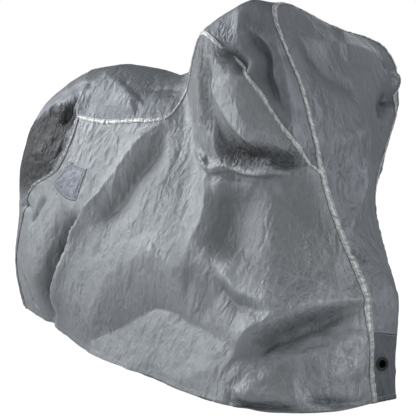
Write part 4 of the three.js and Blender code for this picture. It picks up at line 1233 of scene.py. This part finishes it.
def sew(name, paths):
    """Rows of stitches along paths of points in mm."""
    sizes = bpy.context.scene.cover_sizes
    mesh = bpy.data.meshes.new(name)
    edges, start = [], 0
    for path in paths:
        edges += [(start + k, start + k + 1) for k in range(len(path) - 1)]
        start += len(path)
    mesh.from_pydata((np.concatenate(paths) * MM).tolist(), edges, [])
    piece = bpy.data.objects.new(name, mesh)
    bpy.context.scene.collection.objects.link(piece)
    modifier = piece.modifiers.new("Stitches", "NODES")
    modifier.node_group = sewing_tree()
    values = {
        "Pitch": sizes.stitch_pitch, "Stitch length": sizes.stitch_length, "Thread": sizes.thread,
        "Finish": finish("thread"),
    }
    for item in modifier.node_group.interface.items_tree:
        if item.name in values:
            modifier[item.identifier] = values[item.name]
    sewn = bpy.data.meshes.new_from_object(piece.evaluated_get(bpy.context.evaluated_depsgraph_get()))
    piece.modifiers.clear()
    piece.data = sewn
    if not sewn.polygons:
        raise RuntimeError("the sewing made no stitches")
    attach(piece, BODY)


def plain_rows():
    """Rows of stitches sewn through the cloth itself: along the hem and along the top of the front band."""
    whole = lattice()
    stands = whole.points + whole.normals * (whole.high + OFF_FACE)[:, None]
    hem, band, first = len(whole.rows) - len(HEM_MARKS), whole.row(BAND_TOP), whole.column(FRONT_SEAM)
    rows = []
    for side in (-1, 1):
        rows.append(stands[whole.grid[side][:, hem]])
        rows += [stands[whole.grid[side][first:, row]] for row in (band - 1, band + 1)]
    return rows


# ---- operators
class COVER_OT_side_panels(bpy.types.Operator):
    """Build the two light side panels"""

    bl_idname = "cover.side_panels"
    bl_label = "Side panels"

    def execute(self, context):
        whole = lattice()
        block = (whole.column(REAR_SEAM), whole.column(FRONT_SEAM), whole.row(TOP_SEAM), len(whole.rows) - 1)
        for name, side in (("side_panel_right", -1), ("side_panel_left", 1)):
            panel(name, "light_cloth", whole.quads(side, *block))
        return {"FINISHED"}


class COVER_OT_top_panels(bpy.types.Operator):
    """Build the darker panel over the top and rear, and the one down the front"""

    bl_idname = "cover.top_panels"
    bl_label = "Top and front panels"

    def execute(self, context):
        whole = lattice()
        rear, front, nose = whole.column(REAR_SEAM), whole.column(FRONT_SEAM), len(whole.columns) - 1
        top, band, hem = whole.row(TOP_SEAM), whole.row(BAND_TOP), len(whole.rows) - 1
        over = np.concatenate([whole.both(0, front, 0, top), whole.both(0, rear, top, hem)])
        panel("rear_panel", "dark_cloth", over)
        panel("front_panel", "dark_cloth", whole.both(front, nose, 0, band))
        return {"FINISHED"}


class COVER_OT_front_band(bpy.types.Operator):
    """Build the band below the front panel, with its two eyelet holes"""

    bl_idname = "cover.front_band"
    bl_label = "Front band"

    def execute(self, context):
        panel("front_band", "band_cloth", *band_facets())
        return {"FINISHED"}


class COVER_OT_tapes(bpy.types.Operator):
    """Lay the gathered tape over each seam"""

    bl_idname = "cover.tapes"
    bl_label = "Seam tapes"

    def execute(self, context):
        for name, side in (("side_seam_tape_right", -1), ("side_seam_tape_left", 1)):
            top = tape_strip(seam_along_top(side), SEEDS["top"] + side, 0)
            down = seam_down(REAR_SEAM, 1, PATCH["from"], LEVEL_PLACES[3:], side)
            sewn_strips(name, "seam_tape", "seam_tape", top, tape_strip(down, SEEDS["rear"] + side, 1))
        near, far = (seam_down(FRONT_SEAM, 9, LAST, LEVEL_PLACES, side) for side in (-1, 1))
        front = tape_strip(np.concatenate([near[::-1], far[1:]]), SEEDS["front"], FRONT_DULL)
        sewn_strips("front_seam_tape", "seam_tape", "seam_tape", front)
        return {"FINISHED"}


class COVER_OT_patch(bpy.types.Operator):
    """Sew the bare patch on the right-hand side panel"""

    bl_idname = "cover.patch"
    bl_label = "Side patch"

    def execute(self, context):
        sewn_strips("side_patch", "light_cloth", "patch_cloth", patch_strip())
        return {"FINISHED"}


class COVER_OT_eyelets(bpy.types.Operator):
    """Press a moulded ring into each eyelet of the band"""

    bl_idname = "cover.eyelets"
    bl_label = "Eyelet rings"

    def execute(self, context):
        for name, spot in zip(("eyelet_ring_right", "eyelet_ring_left"), SPOTS):
            eyelet_ring(name, spot)
        return {"FINISHED"}


class COVER_OT_sewing(bpy.types.Operator):
    """Sew the rows of stitches on the tapes, the patch, the band and the hem"""

    bl_idname = "cover.sewing"
    bl_label = "Stitches"

    def execute(self, context):
        sew("cover_stitches", MADE["stitch paths"] + plain_rows())
        return {"FINISHED"}


class COVER_OT_sheets(bpy.types.Operator):
    bl_idname = "cover.sheets"
    bl_label = "Declare the sheets"

    def execute(self, context):
        return {"FINISHED"}


# ---- studio
CAMERA = {"lens": 121.15, "sensor": 36, "azimuth": 48, "elevation": 7, "place": (3.6839, -3.2347, 1.1005)}
LIGHTS = (
    # name, watts, size in metres, azimuth and elevation that it comes from
    ("key", 66, 1.2, -74, 24),
    ("low key", 36, 1.4, -46, 10),
    ("fill", 37, 2.0, 104, 18),
    ("top light", 18, 1.6, 14, 56),
    ("back light", 26, 2.0, 192, 26),
)
LIGHTS_ROUND, LIGHTS_OFF = Vector((0, 0, 0.6)), 4.6     # what they stand round, and how far off, metres
WORLD_LIGHT, WORLD_SEEN = 0.25, 1.0
FLOOR_HALF, FLOOR_GLOW = 14, 1.25
FLOOR_SHADE = 0.2       # share of the floor's look that takes shadows; the rest is even and white
WHITE = (1, 1, 1, 1)


def aimed(name, data, place, azimuth, elevation):
    """A light or camera at a place, looking back from an azimuth and elevation."""
    a, e = math.radians(azimuth), math.radians(elevation)
    from_there = Vector((math.sin(a) * math.cos(e), -math.cos(a) * math.cos(e), math.sin(e)))
    held = bpy.data.objects.new(name, data)
    held.location = place(from_there)
    held.rotation_mode = "QUATERNION"
    held.rotation_quaternion = (-from_there).to_track_quat("-Z", "Y")
    bpy.context.scene.collection.objects.link(held)
    return held


def studio_paper(tree, coords):
    """White background paper, its fibres just felt. It shows mostly as even white and takes a little shadow."""
    fibre = node(tree, "ShaderNodeTexNoise", {"Vector": (coords, "Object"), "Scale": 40, "Detail": 3})
    bump = node(tree, "ShaderNodeBump", {"Height": (fibre, "Fac"), "Strength": 0.05, "Distance": 0.001})
    paper = linear(bpy.context.scene.cover_colours.floor)
    shader = node(tree, "ShaderNodeBsdfPrincipled", {"Base Color": paper, "Roughness": 0.9, "Normal": bump})
    bright = node(tree, "ShaderNodeEmission", {"Color": WHITE, "Strength": FLOOR_GLOW})
    lit = node(tree, "ShaderNodeMixShader", {0: FLOOR_SHADE, 1: bright, 2: shader})
    path = node(tree, "ShaderNodeLightPath")
    return node(tree, "ShaderNodeMixShader", {0: (path, "Is Camera Ray"), 1: shader, 2: lit})


class COVER_OT_stage(bpy.types.Operator):
    """Set the pale floor, the soft lights and the camera"""

    bl_idname = "cover.stage"
    bl_label = "Stage"

    def execute(self, context):
        scene = context.scene
        half_floor = FLOOR_HALF / MM
        ends = np.array([(-1, -1, 0), (1, -1, 0), (1, 1, 0), (-1, 1, 0)]) * half_floor
        floor = make_mesh("floor", ends, np.array([(0, 1, 2, 3)]))
        floor.data.materials.append(made_of("Studio paper, white", studio_paper))

        world = scene.world = bpy.data.worlds.new("Studio")
        world.use_nodes = True
        tree = world.node_tree
        tree.nodes.clear()
        sky, seen = (
            node(tree, "ShaderNodeBackground", {"Color": WHITE, "Strength": strength})
            for strength in (WORLD_LIGHT, WORLD_SEEN))
        path = node(tree, "ShaderNodeLightPath")
        mixed = node(tree, "ShaderNodeMixShader", {0: (path, "Is Camera Ray"), 1: sky, 2: seen})
        node(tree, "ShaderNodeOutputWorld", {"Surface": mixed})

        for name, watts, size, azimuth, elevation in LIGHTS:
            lamp = bpy.data.lights.new(name, "AREA")
            lamp.energy, lamp.size = watts, size
            aimed(name, lamp, lambda away: LIGHTS_ROUND + away * LIGHTS_OFF, azimuth, elevation)
        lens = bpy.data.cameras.new("camera")
        lens.lens, lens.sensor_width = CAMERA["lens"], CAMERA["sensor"]
        lens.clip_start, lens.clip_end = 0.1, 100
        scene.camera = aimed("camera", lens, lambda away: CAMERA["place"], CAMERA["azimuth"], CAMERA["elevation"])
        scene.view_settings.view_transform = "Standard"
        return {"FINISHED"}


class COVER_PT_panel(bpy.types.Panel):
    """Sizes, colours and steps of the cover"""

    bl_idname = "COVER_PT_panel"
    bl_label = "Fitted cover"
    bl_space_type = "VIEW_3D"
    bl_region_type = "UI"
    bl_category = "Cover"

    def draw(self, context):
        for group in (context.scene.cover_sizes, context.scene.cover_colours):
            box = self.layout.box()
            for name in group.__annotations__:
                box.prop(group, name)
        for operator in OPERATORS:
            self.layout.operator(operator.bl_idname)


OPERATORS = (
    COVER_OT_side_panels, COVER_OT_top_panels, COVER_OT_front_band, COVER_OT_tapes, COVER_OT_patch,
    COVER_OT_eyelets, COVER_OT_sewing, COVER_OT_sheets, COVER_OT_stage,
)
CLASSES = (CoverSizes, CoverColours, *OPERATORS, COVER_PT_panel)


def register():
    for each in CLASSES:
        bpy.utils.register_class(each)
    bpy.types.Scene.cover_sizes = bpy.props.PointerProperty(type=CoverSizes)
    bpy.types.Scene.cover_colours = bpy.props.PointerProperty(type=CoverColours)


def unregister():
    del bpy.types.Scene.cover_colours
    del bpy.types.Scene.cover_sizes
    for each in reversed(CLASSES):
        bpy.utils.unregister_class(each)


def main():
    register()
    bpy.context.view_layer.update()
    bpy.ops.cover.side_panels()
    bpy.ops.cover.top_panels()
    bpy.ops.cover.front_band()
    bpy.ops.cover.tapes()
    bpy.ops.cover.patch()
    bpy.ops.cover.eyelets()
    bpy.ops.cover.sewing()
    bpy.ops.cover.sheets()
    bpy.ops.cover.stage()


if __name__ == "__main__":
    main()
